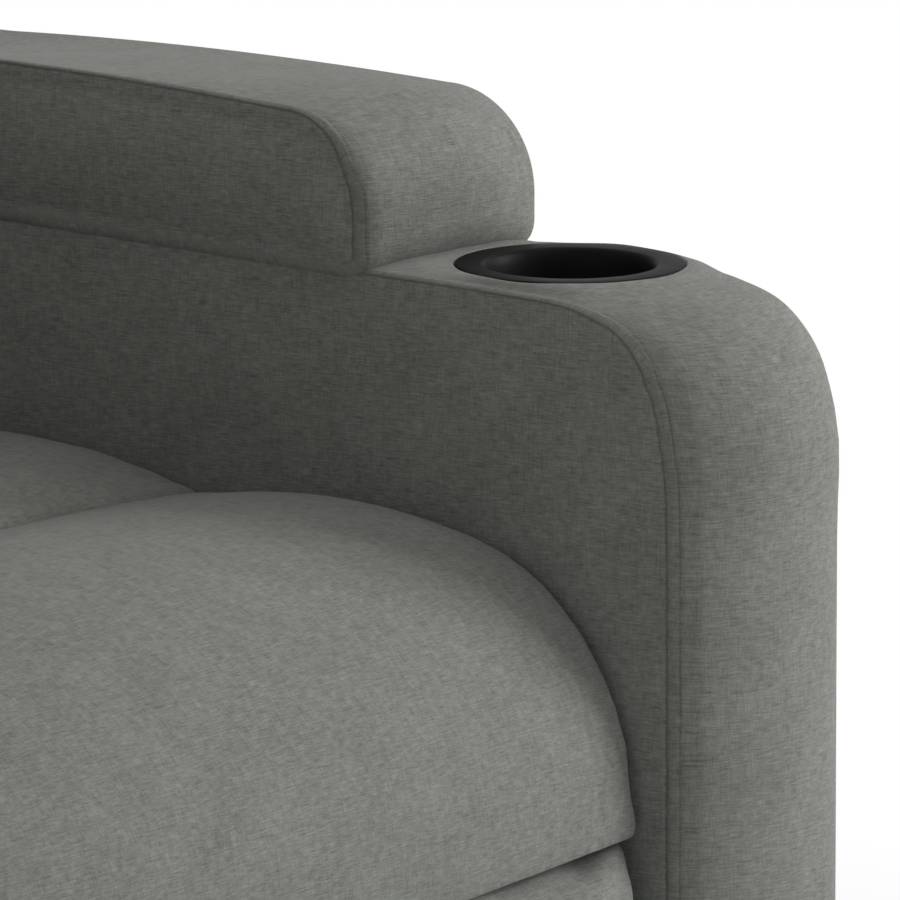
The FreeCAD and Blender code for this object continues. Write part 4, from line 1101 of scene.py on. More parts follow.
@dataclass
class ArmShape:
    """Side views of the arm, at its seams and on its middle line, and of the pad on it."""

    inner: float = LEFT_ARM[0].x / MM
    width: float = (LEFT_ARM[1].x - LEFT_ARM[0].x) / MM
    bottom: float = 70.0
    front: float = -445.0
    rear: float = 385.0
    top: float = 570.5
    slope: float = 2.25
    level_start: float = 80.0
    front_bulge: float = 28.0
    front_power: float = 2.7
    foot_lean: float = 1.5
    top_crown: float = 7.2
    corner_end: float = -319.6
    nose_low: float = 440.0
    nose_seam: tuple[Pair, ...] = ((-441.5, 497.0), (-431.0, 534.0), (-408.5, 555.5), (-385.0, 564.6),
                                   (-330.0, 570.6))
    nose_middle: tuple[Pair, ...] = ((-472.0, 514.5), (-458.2, 543.0), (-440.8, 560.0), (-418.0, 568.6),
                                     (-373.6, 573.8))
    pad_front: float = -255.5
    pad_rear: float = 335.0
    pad_height: float = 77.0
    pad_bulge: float = 13.6
    pad_lean: float = 6.0
    pad_crown: float = 6.5
    pad_arch: Pair = (2.0, 12.0)
    pad_tilt: Pair = (2.5, 6.5)
    pad_corner: float = 54.0
    pad_tuck: Pair = (6.5, 2.5)
    pad_bend: float = 3.3
    pad_swell: float = 2.0
    pad_foot: Pair = (16.0, 4.0)
    pad_rear_corner: float = 30.0
    foot_corner: float = 18.0
    forward_spots: int = 3
    cover_steps: tuple[int, ...] = (60, 5, 44, 8, 30, 76, 60, 50, 5)
    nose_steps: tuple[int, ...] = (26, 12, 12, 6, 4)
    pad_steps: tuple[int, ...] = (50, 24, 5, 8, 10, 24, 50, 26, 10, 6)

    def top_at(self, along: float) -> float:
        """Height of the arm's top seam at a place along its sloping part."""
        return self.top + (along - self.corner_end) * math.tan(math.radians(self.slope))

    def cover(self, crown: float, share: float) -> np.ndarray:
        """Side view of the arm, whose front is fuller towards the outside.

        Args:
            crown: 0 at the seams, 1 on the middle line.
            share: Place across the arm, 0 at the seat's side and 1 outside.

        Returns:
            Outline points.
        """
        forward = crown if share <= 0.5 else 1.0 - min(2 * share - 1, 1.0) ** self.front_power
        front = self.front - self.front_bulge * forward
        level = self.top_at(self.level_start) + self.top_crown * crown
        nose = [(front, self.nose_low)]
        for number, (seam, middle) in enumerate(zip(self.nose_seam, self.nose_middle)):
            fullness = forward if number < self.forward_spots else crown
            nose.append((seam[0] + (middle[0] - seam[0]) * fullness,
                         seam[1] + (middle[1] - seam[1]) * crown))
        edge = self.foot_corner
        bow = quarter_rise(edge)
        corners: list[Corner] = [
            (front + edge, self.bottom),
            (self.rear - edge, self.bottom, bow),
            (self.rear, self.bottom + edge),
            (self.rear, level - edge * 2, bow * 2),
            (self.rear - edge * 2, level),
            (self.level_start, level),
            nose[-1],
            nose[0],
            (front - self.foot_lean, self.bottom + edge, bow),
        ]
        loop = bowed(corners, self.cover_steps)
        run = [(self.level_start, level), *nose[::-1], (front, self.nose_low - 60)]
        start = sum(self.cover_steps[:6])
        loop[start:start + sum(self.nose_steps)] = eased(run, self.nose_steps)
        return loop

    def cover_welted(self) -> np.ndarray:
        """Where the arm's seams have a welt: everywhere but along the floor side."""
        keep = np.ones(sum(self.cover_steps))
        keep[:sum(self.cover_steps[:2])] = 0.0
        return keep

    def pad(self, crown: float, share: float) -> np.ndarray:
        """Side view of the pad.

        Args:
            crown: 0 at the seams, 1 on the middle line.
            share: Place across the pad, 0 at the seat's side and 1 outside.

        Returns:
            Outline points.
        """
        front = self.pad_front - self.pad_bulge * crown - self.pad_lean * share
        low = self.top_at(self.pad_front) - self.pad_tuck[0] + self.top_crown * crown
        level = self.top_at(self.level_start) - self.pad_tuck[1]
        rise = self.pad_height + self.pad_arch[0] + self.pad_tuck[1]
        shoulder = front + self.pad_corner
        top = self.top_at(shoulder) + self.pad_height + self.pad_arch[0] + self.pad_crown * crown
        top -= self.pad_tilt[0] * share
        fall = self.pad_arch[1] * crown
        tilt = self.pad_tilt[1] * share
        foot = self.pad_foot[0] + self.pad_foot[1] * crown
        edge = self.pad_rear_corner
        corners: list[Corner] = [
            (front + foot, low),
            (self.level_start, level),
            (self.pad_rear - foot, level, quarter_rise(foot)),
            (self.pad_rear, level + foot),
            (self.pad_rear, level + rise - fall - tilt - edge, quarter_rise(edge)),
            (self.pad_rear - edge, level + rise - fall - tilt, self.pad_bend * 0.6),
            (self.level_start, level + rise - fall * 0.5 - tilt + self.pad_swell, self.pad_bend),
            (shoulder, top, quarter_rise(self.pad_corner)),
            (front, top - self.pad_corner),
            (front, low + foot, quarter_rise(foot)),
        ]
        return bowed(corners, self.pad_steps)

    def pad_welted(self) -> np.ndarray:
        """Where the pad's seams have a welt: not along the arm."""
        keep = np.ones(sum(self.pad_steps))
        keep[:sum(self.pad_steps[:3])] = 0.0
        keep[-self.pad_steps[-1]:] = np.linspace(1.0, 0.0, self.pad_steps[-1])
        return keep


@dataclass
class CupHolder:
    """Black plastic cup with a wide flat rim, turned about its own axis."""

    across: float = (LEFT_CUP[0].x + LEFT_CUP[1].x) / 2 / MM
    along: float = (LEFT_CUP[0].y + LEFT_CUP[1].y) / 2 / MM
    rim_top: float = LEFT_CUP[1].z / MM - 1.5
    rim_radius: float = 59.0
    radius: float = 44.0
    depth: float = 66.0
    lean: Pair = (1.27, 0.89)
    segments: int = 128

    def build(self, side: int) -> bpy.types.Object:
        """Make the cup of one arm.

        Args:
            side: 1 for the left, -1 for the right.

        Returns:
            The cup.
        """
        top = self.rim_top
        floor = top - self.depth
        rim = self.rim_radius
        bore = self.radius
        profile = [
            (2.0, floor - 2.5), (bore - 4, floor - 2.5), (bore + 1.0, floor - 0.5), (bore + 2.4, floor + 5),
            (bore + 2.4, top - 5.2), (rim - 0.9, top - 5.2), (rim - 0.2, top - 4.8), (rim, top - 4.2),
            (rim, top - 1.2), (rim - 0.15, top - 0.6), (rim - 0.6, top - 0.2), (rim - 1.3, top),
            (rim - 7.0, top - 0.05), (bore + 2.6, top - 0.1), (bore + 1.5, top - 0.3),
            (bore + 0.6, top - 0.9), (bore - 0.3, top - 2.1), (bore - 1.0, top - 4.0),
            (bore - 1.5, top - 6.6), (bore - 1.9, top - 11.0), (bore - 2.4, top - 32.0),
            (bore - 2.8, floor + 7), (bore - 4.0, floor + 2.6), (bore - 7.5, floor + 0.4),
            (bore - 11.0, floor), (2.0, floor),
        ]
        turns = np.linspace(0.0, 2 * math.pi, self.segments, endpoint=False)
        circle = np.stack((np.cos(turns), np.sin(turns)), 1)
        rings = [np.column_stack((circle * radius, np.full(len(turns), height)))
                 for radius, height in profile]
        points = np.concatenate(rings)
        lean = points[:, :2] @ np.tan(np.radians(self.lean))
        points[:, 2] += lean * np.clip((points[:, 2] - floor) / (top - 8.0 - floor), 0.0, 1.0)
        points += np.array((self.across, self.along, 0.0))
        faces = ring_faces(len(rings), self.segments)
        points, faces = mirrored(points, faces, side)
        name = "cup_left" if side > 0 else "cup_right"
        cup = piece(name, points, faces, Finish.CUP_PLASTIC)
        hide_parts("cup_holder_left" if side > 0 else "cup_holder_right")
        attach(cup, "chassis")
        return cup


@dataclass
class Opening:
    """Round opening in the top of a boxed form, with the cloth drawn up to the rim of the cup let into it."""

    across: float
    along: float
    rim: float
    top: float
    hole: float = 56.5
    press: float = 24.0
    reach: float = 80.0
    margin: Pair = (3.0, 3.0)
    lean: Pair = (0.0, 0.0)

    def _block(self, rings: np.ndarray) -> tuple[int, int, int, int]:
        """Find the cloth round the opening.

        Args:
            rings: Rings of the form.

        Returns:
            First and last ring, first and last point on a ring.
        """
        middle = rings[len(rings) // 2]
        close = (np.abs(middle[:, 1] - self.along) < self.reach) & (middle[:, 2] > self.top - 40)
        spots = np.nonzero(close)[0]
        levels = rings[:, (spots[0] + spots[-1]) // 2, 0]
        clear = (levels > self.margin[0]) & (levels < np.median(rings[-1, :, 0]) - 5.0 - self.margin[1])
        rows = np.nonzero(clear)[0]
        return int(rows[0]), int(rows[-1]), int(spots[0]), int(spots[-1])

    @staticmethod
    def _cloth_at(block: np.ndarray, across: float, along: float) -> np.ndarray:
        """Cloth between the rings and points of a block.

        Args:
            block: Part of the rings.
            across: Place across the band.
            along: Place along the arm.

        Returns:
            The same numbers as for each point of the rings.
        """
        levels = block[:, 0, 0]
        row = int(np.clip(np.searchsorted(levels, across) - 1, 0, len(levels) - 2))
        share = (across - levels[row]) / (levels[row + 1] - levels[row])
        ends = []
        for line in (block[row], block[row + 1]):
            line = line[np.argsort(line[:, 1])]
            ends.append(np.array([np.interp(along, line[:, 1], values) for values in line.T]))
        found = ends[0] * (1 - share) + ends[1] * share
        found[:2] = (across, along)
        return found

    def _ray(self, block: np.ndarray, border: np.ndarray) -> list[np.ndarray]:
        """Cloth from a point of the block's border to the hole.

        Args:
            block: Part of the rings.
            border: The point.

        Returns:
            The points, without the first.
        """
        way = border[:2] - np.array((self.across, self.along))
        away = float(np.linalg.norm(way))
        bearing = math.atan2(way[1], way[0])
        pucker = 0.5 * math.sin(bearing * 5.0 + 0.6) + 0.35 * math.sin(bearing * 9.0)
        tilt = self.rim * float(way / away @ np.tan(np.radians(self.lean)))
        lip = self.top + tilt - 0.3 + 0.4 * pucker
        start = self.rim + 1.2
        press = min(self.press, away - start)
        points = []
        for step in np.linspace(1.0, 0.0, 15)[1:] ** 1.6:
            reach = start + (away - start) * float(step)
            spot = np.array((self.across, self.along)) + way / away * reach
            cloth = self._cloth_at(block, *spot)
            share = min((reach - start) / press, 1.0)
            soft = soft_step(share)
            cloth[2] = lip * (1 - soft) + cloth[2] * soft
            points.append(cloth)
        for reach, height in ((self.rim + 0.5, lip - 0.4), (self.rim - 0.2, lip - 1.6),
                              (self.rim - 1.4, self.top + tilt - 5.6), (self.hole, self.top + tilt - 5.8)):
            cloth = points[-1].copy()
            cloth[:2] = np.array((self.across, self.along)) + way / away * reach
            cloth[2] = height
            points.append(cloth)
        return points

    def cut(self, rings: np.ndarray) -> tuple[np.ndarray, list[list[int]]]:
        """Open a form.

        Args:
            rings: Rings of the form.

        Returns:
            Its points and faces.
        """
        first, last, start, stop = self._block(rings)
        count = rings.shape[1]
        faces = [face for number, face in enumerate(ring_faces(len(rings), count))
                 if not (first <= number // count < last and start <= number % count < stop)]
        loop = [*((first, spot) for spot in range(start, stop)),
                *((row, stop) for row in range(first, last)),
                *((last, spot) for spot in range(stop, start, -1)),
                *((row, start) for row in range(last, first, -1))]
        block = rings[first:last + 1, start:stop + 1]
        rays = np.array([self._ray(block, rings[row, spot]) for row, spot in loop])
        base = rings.shape[0] * count
        depth = rays.shape[1]
        numbers = [[row * count + spot, *(base + place * depth + step for step in range(depth))]
                   for place, (row, spot) in enumerate(loop)]
        for place, line in enumerate(numbers):
            after = numbers[(place + 1) % len(numbers)]
            faces.extend([line[step], after[step], after[step + 1], line[step + 1]] for step in range(depth))
        points = np.concatenate((rings.reshape(base, -1), rays.reshape(len(loop) * depth, -1)))
        used = np.unique(np.concatenate([np.array(face) for face in faces]))
        renumber = np.zeros(len(points), int)
        renumber[used] = np.arange(len(used))
        return points[used], [renumber[face].tolist() for face in faces]


@dataclass
class Arm:
    """One arm: the sewn cover with its bullnose front, the pad on it and the cup let into it."""

    side: int
    shape: ArmShape = field(default_factory=ArmShape)
    cup: CupHolder = field(default_factory=CupHolder)
    overhang: Pair = (2.2, 4.0)

    @property
    def hand(self) -> str:
        """Name of the sitter's side that this arm is on."""
        return "left" if self.side > 0 else "right"

    def _form(self, form: BoxedForm, name: str, node: str,
              opening: Optional[Opening] = None) -> bpy.types.Object:
        """Turn a boxed form into a piece that stands for a node.

        Args:
            form: The form, drawn for the left arm.
            name: Name of the piece.
            node: Node that it replaces.
            opening: Opening to cut in its top.

        Returns:
            The piece.
        """
        rings = form.rings()
        flat = rings.reshape(-1, rings.shape[2])
        faces = ring_faces(*rings.shape[:2])
        if opening:
            flat, faces = opening.cut(rings)
        points = flat[:, :3] + np.array((form.start, 0.0, 0.0))
        points, faces = mirrored(points, [face[::-1] for face in faces], self.side)
        made = piece(name, points, faces, Finish.LINEN, flat[:, 3:5] + 900.0 * form.seed, flat[:, 5])
        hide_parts(node)
        return made

    def build_cover(self) -> bpy.types.Object:
        """Make the cover with the opening for the cup.

        Returns:
            The cover.
        """
        shape = self.shape
        form = BoxedForm(shape.cover, shape.cover_welted(), sum(shape.cover_steps[:7]), shape.inner,
                         shape.width, shape.front_bulge, ((-250.0, 320.0), (190.0, 330.0)), (1.5, 1.2),
                         seed=1.0 + self.side)
        cup = self.cup
        opening = Opening(cup.across - shape.inner, cup.along, cup.rim_radius, cup.rim_top, lean=cup.lean)
        cover = self._form(form, f"arm_sewn_{self.hand}", f"arm_cover_{self.hand}", opening)
        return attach(cover, "chassis")

    def build_pad(self) -> bpy.types.Object:
        """Make the stacked pad.

        Returns:
            The pad.
        """
        shape = self.shape
        form = BoxedForm(shape.pad, shape.pad_welted(), sum(shape.pad_steps[:8]),
                         shape.inner - self.overhang[0], shape.width + sum(self.overhang),
                         shape.pad_crown * 1.8, ((-195.0, 620.0), (290.0, 632.0)), (5.5, 2.0),
                         far_corner=plain_corner(8.0), seed=2.5 + self.side, unevenness=0.9, pillow=36.0)
        pad = self._form(form, f"arm_rest_pad_{self.hand}", f"arm_pad_{self.hand}")
        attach(pad, "chassis")
        return pad

    def build(self) -> None:
        """Make the whole arm."""
        for made in (self.build_cover(), self.build_pad(), self.cup.build(self.side)):
            LOG.info("%s: %d points", made.name, len(made.data.vertices))


@dataclass
class Seat:
    """Seat cushion: a rear lobe, a sewn crease and the roll over the knees."""

    half: float = CUSHION_HALF
    front: float = -385.0
    rear: float = 124.0
    bottom: float = 338.0
    edge: float = 452.0
    lobe_rise: float = 21.0
    crease: float = -162.0
    roll_rise: float = 11.0
    roll_break: float = -346.0
    roll_height: float = 443.0
    nose: float = -428.0
    nose_height: float = 322.0
    lip: float = 292.0
    rest: float = 298.5
    side_rise: float = 5.5
    tuck: float = 9.0
    rear_corner: float = 24.0
    rear_rise: float = 7.0
    front_rise: float = 21.0
    crown: float = 12.0
    padding: Padding = field(default_factory=lambda: Padding(voxel=6.5, slack=4.0, cap=22.0, relax=10))

    def outline(self, crown: float) -> np.ndarray:
        """Side view of the cushion.

        Args:
            crown: 0 at its sides, 1 on its middle line.

        Returns:
            Outline points.
        """
        rise = self.crown * crown
        edge = self.edge + rise
        front = self.front + self.tuck
        corners: list[Corner] = [
            (front, self.bottom),
            (self.rear, self.bottom),
            (self.rear, edge - self.rear_corner, self.rear_rise),
            (self.rear - self.rear_corner, edge, self.lobe_rise),
            (self.crease, edge - rise / 3, self.roll_rise + rise / 3),
            (self.roll_break, self.roll_height + rise, self.front_rise),
            (self.nose - rise / 3, self.nose_height, 2.0),
            (self.nose + 1, self.lip),
            (front, self.lip),
        ]
        return bowed(corners, (40, 12, 6, 40, 34, 26, 6, 6, 8))

    def _held(self, points: np.ndarray) -> np.ndarray:
        """Hold the cushion's underside and its crease.

        Args:
            points: Points in millimetres.

        Returns:
            Hold of each point.
        """
        below = np.clip((self.bottom + 12 - points[:, 2]) / 10, 0.0, 1.0) * (points[:, 1] > self.front)
        lip = np.clip((self.lip + 6 - points[:, 2]) / 6, 0.0, 1.0)
        crease = np.clip(1 - np.abs(points[:, 1] - self.crease) / 9, 0.0, 1.0)
        crease *= points[:, 2] > self.edge - 20
        side = np.clip((np.abs(points[:, 0]) - (self.half - 7)) / 6, 0.0, 1.0) * 0.6
        return np.maximum.reduce((below, lip, crease, side))

    def build(self) -> bpy.types.Object:
        """Make the cushion.

        Returns:
            The cushion.
        """
        sections = [(across, self.outline(crown)) for across, crown in crowned_steps(self.half)]
        cushion = lofted("seat_padding", sections)
        self.padding.swell(cushion, self._held)
        points = coordinates(cushion)
        across = np.clip(np.abs(points[:, 0]) / self.half, 0.0, 1.0)
        gap = np.abs(points[:, 1] - self.crease - 3.0 * across)
        nick = np.exp(-(gap / 5.0) ** 2) * 3.0 * (points[:, 2] > self.edge - 30)
        rest = self.rest + self.side_rise * rise_at_sides(points, self.half)
        points[:, 2] = np.maximum(points[:, 2] - nick, rest)
        points[:, 0] = np.clip(points[:, 0], -self.half - 2.8, self.half + 2.8)
        move_points(cushion, points)
        sewn_cloth(cushion, self.outline(0.8))
        # Painted shade along the sewn crease, stored as the cloth's seam mask.
        store(cushion.data, "seam", np.exp(-(gap / 3.0) ** 2) * 0.6 * (points[:, 2] > self.edge - 30))
        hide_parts("seat_cushion")
        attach(cushion, "chassis")
        LOG.info("%s: %d points", cushion.name, len(cushion.data.vertices))
        return cushion


@dataclass
class FrontPanel:
    """Padded front panel that swings up as the footrest."""

    half: float = CUSHION_HALF
    back: float = -371.0
    bottom: float = 92.0
    top: float = 308.0
    depth: float = 58.0
    side_depth: float = 49.0
    corner: float = 6.0
    bulge: float = 20.0
    rest: float = 297.0
    side_rise: float = 5.5
    padding: Padding = field(
        default_factory=lambda: Padding(voxel=6.5, slack=1.5, cap=16.0, smoothing=3, relax=4))

    def outline(self, crown: float) -> np.ndarray:
        """Side view of the pad.

        Args:
            crown: 0 at its sides, 1 on its middle line.

        Returns:
            Outline points.
        """
        bulge = self.bulge * (0.8 + 0.2 * crown)
        depth = self.side_depth + (self.depth - self.side_depth) * crown
        edge = self.corner
        bow = quarter_rise(edge)
        corners: list[Corner] = [
            (self.back, self.bottom),
            (self.back, self.top),
            (self.back - depth + edge, self.top, bow),
            (self.back - depth, self.top - edge, bulge),
            (self.back - depth, self.bottom + edge, bow),
            (self.back - depth + edge, self.bottom),
        ]
        return bowed(corners, (24, 4, 8, 34, 8, 4))

    def build(self) -> bpy.types.Object:
        """Make the pad.

        Returns:
            The pad.
        """
        sections = [(across, self.outline(crown)) for across, crown in crowned_steps(self.half, 0.35)]
        pad = lofted("footrest_padding", sections)
        self.padding.swell(pad, lambda points: np.clip((points[:, 1] - self.back + 7) / 5, 0.0, 1.0))
        points = coordinates(pad)
        points[:, 0] = np.clip(points[:, 0], -self.half - 2, self.half + 2)
        points[:, 1] = np.minimum(points[:, 1], self.back)
        rest = self.rest + self.side_rise * rise_at_sides(points, self.half)
        points[:, 2] = np.minimum(points[:, 2], rest)
        move_points(pad, points)
        sewn_cloth(pad, self.outline(0.8))
        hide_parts("footrest_pad")
        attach(pad, "footrest_panel")
        LOG.info("%s: %d points", pad.name, len(pad.data.vertices))
        return pad


@dataclass
class Back:
    """Backrest: three rolls in front of the frame and a sewn cover behind it."""

    hinge: Pair = (250.0, 300.0)
    lean: float = 12.0
    half: float = BACK_HALF
    rear: float = 12.7
    depth: float = 105.0
    fill: float = 8.0
    bulge: Pair = (30.0, 66.0)
    seams: tuple[float, ...] = (75.0, 302.0, 524.0, 748.0)
    cover_low: float = 62.0
    cover_top: float = 748.0
    cover_front: float = 15.0
    cover_rear: float = 60.0
    cover_corner: float = 40.0
    cover_foot: float = 10.0
    cover_crown: float = 3.0
    cover_steps: tuple[int, ...] = (40, 5, 60, 14, 40, 14, 60, 5)
    flap_low: float = -25.0
    flap_tuck: float = 6.0
    flap_front: float = 50.4
    flap_inset: float = 17.0
    padding: Padding = field(default_factory=lambda: Padding(voxel=8.0, slack=4.0, cap=24.0))

    def leaned(self, points: np.ndarray) -> np.ndarray:
        """Turn points from the upright backrest to its lean about the hinge.

        Args:
            points: Points in millimetres.

        Returns:
            Points in place.
        """
        angle = math.radians(self.lean)
        turned = points.copy()
        turned[:, 1] = self.hinge[0] + points[:, 1] * math.cos(angle) + points[:, 2] * math.sin(angle)
        turned[:, 2] = self.hinge[1] - points[:, 1] * math.sin(angle) + points[:, 2] * math.cos(angle)
        return turned

    def outline(self, low: float, high: float, crown: float) -> np.ndarray:
        """Side view of one roll.

        Args:
            low: Its lower seam.
            high: Its upper seam.
            crown: 0 at its sides, 1 on its middle line.

        Returns:
            Outline points.
        """
        front = self.rear - self.depth - self.fill * crown
        bulge = self.bulge[0] + (self.bulge[1] - self.bulge[0]) * crown
        corners: list[Corner] = [
            (self.rear, low),
            (self.rear, high),
            (front, high - self.fill, bulge),
            (front, low + self.fill),
        ]
        return bowed(corners, (20, 14, 40, 14))

    def _roll(self, name: str, low: float, high: float) -> bpy.types.Object:
        """Make one roll.

        Args:
            name: Node that it replaces.
            low: Its lower seam.
            high: Its upper seam.

        Returns:
            The roll.
        """
        steps = crowned_steps(self.half, 0.4)
        sections = [(across, self.outline(low, high, crown)) for across, crown in steps]
        roll = lofted(name.replace("cushion", "padding"), sections)

        def held(points: np.ndarray) -> np.ndarray:
            """Hold the roll at its back, and half at its two ends."""
            behind = np.clip((points[:, 1] - self.rear + 10) / 8, 0.0, 1.0)
            ends = np.clip((np.abs(points[:, 0]) - (self.half - 5)) / 5, 0.0, 1.0) * 0.5
            return np.maximum(behind, ends)

        self.padding.swell(roll, held)
        points = coordinates(roll)
        points[:, 2] = np.clip(points[:, 2], low - 1.5, high + 2.0)
        points[:, 0] = np.clip(points[:, 0], -self.half - 2.5, self.half + 2.5)
        points[:, 1] = np.minimum(points[:, 1], self.rear)
        move_points(roll, points)
        sewn_cloth(roll, self.outline(low, high, 0.8))
        move_points(roll, self.leaned(points))
        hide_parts(name)
        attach(roll, "backrest")
        LOG.info("%s: %d points", roll.name, len(roll.data.vertices))
        return roll

    def _cover_outline(self, crown: float, _: float) -> np.ndarray:
        """Front view of the cover, X across and Z up.

        Args:
            crown: 0 at its seams, 1 on its middle line.
            _: Place from front to back, which its shape doesn't depend on otherwise.

        Returns:
            Outline points.
        """
        half = self.half + self.cover_crown * crown
        top = self.cover_top + self.cover_crown * crown
        edge, foot = self.cover_corner, self.cover_foot
        bow, foot_bow = quarter_rise(edge), quarter_rise(foot)
        corners: list[Corner] = [
            (-half + foot, self.cover_low),
            (half - foot, self.cover_low, foot_bow),
            (half, self.cover_low + foot),
            (half, top - edge, bow),
            (half - edge, top),
            (-half + edge, top, bow),
            (-half, top - edge),
            (-half, self.cover_low + foot, foot_bow),
        ]
        return bowed(corners, self.cover_steps)

    def _cover(self) -> bpy.types.Object:
        """Make the sewn cover behind the frame.

        Returns:
            The cover.
        """
        form = BoxedForm(self._cover_outline, np.ones(sum(self.cover_steps)), 0, 0.0,
                         self.cover_rear - self.cover_front, 6.0, ((0.0, 300.0), (0.0, 500.0)), (0.0, 7.0),
                         seed=5.0, unevenness=0.9, pillow=110.0)
        cover = form.stand("back_sewn_cover", self.cover_front, 4000.0, self.leaned)
        tongue = self._tongue()
        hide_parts("back_cover")
        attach(cover, "backrest")
        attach(tongue, "backrest")
        LOG.info("%s: %d points", cover.name, len(cover.data.vertices))
        return cover

    def _tongue(self) -> bpy.types.Object:
        """Make the flap that closes the cover below the hinge.

        Returns:
            The flap.
        """
        low, high = self.flap_low, self.cover_low + self.flap_tuck
        front, rear = self.flap_front, self.cover_rear
        across = np.linspace(self.flap_inset - self.half, self.half - self.flap_inset, 60)
        loop = bowed([(front, low), (rear, low), (rear, high), (front, high)], (5, 24, 5, 24))
        rings = []
        for spot in across:
            edge = loop.copy()
            wave = 0.8 * math.sin(spot / 31.0) + 0.5 * math.sin(spot / 13.0 + 1.0)
            outer = edge[:, 0] > (front + rear) / 2
            edge[outer, 0] += wave * np.clip((high - edge[outer, 1]) / (high - low), 0.0, 1.0)
            rings.append(np.column_stack((np.full(len(edge), spot), edge)))
        points = np.concatenate(rings)
        faces = [face[::-1] for face in ring_faces(len(rings), len(loop))]
        return piece("back_flap", self.leaned(points), faces, Finish.LINEN, points[:, [0, 2]] + 2000.0)

    def build(self) -> None:
        """Make the backrest."""
        names = ("lumbar_cushion", "shoulder_cushion", "head_cushion")
        for name, low, high in zip(names, self.seams, self.seams[1:]):
            self._roll(name, low + 0.5, high - 0.5)
        self._cover()


@dataclass
class Skirt:
    """Cloth-covered board that closes the back between the arms."""

    half: float = LEFT_ARM[0].x / MM - 0.4
    front: float = 372.0
    rear: float = 384.0
    bottom: float = 75.0
    top: float = 240.0
    corner: float = 6.0
    steps: tuple[int, ...] = (50, 3, 18, 3, 50, 3, 18, 3)

    def _outline(self, crown: float, _: float) -> np.ndarray:
        """Rear view of the board.

        Args:
            crown: 0 at its edges, 1 on the middle line.
            _: Place from front to back, which its shape doesn't depend on otherwise.

        Returns:
            Outline points.
        """
        half, edge = self.half, self.corner
        bow = quarter_rise(edge)
        top = self.top - 0.6 * crown
        corners: list[Corner] = [
            (-half + edge, self.bottom), (half - edge, self.bottom, bow), (half, self.bottom + edge),
            (half, top - edge, bow), (half - edge, top), (-half + edge, top, bow), (-half, top - edge),
            (-half, self.bottom + edge, bow),
        ]
        return bowed(corners, self.steps)

    def build(self) -> bpy.types.Object:
        """Make the board.

        Returns:
            The board.
        """
        welt = plain_corner(3.0)
        form = BoxedForm(self._outline, np.zeros(sum(self.steps)), 0, 0.0, self.rear - self.front, 1.0,
                         ((-190.0, 157.0), (190.0, 157.0)), (0.0, 2.5), welt=welt, far_corner=welt, seed=7.0)
        made = form.stand("skirt_panel", self.front, 6000.0)
        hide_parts("rear_skirt")
        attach(made, "chassis")
        LOG.info("%s: %d points", made.name, len(made.data.vertices))
        return made


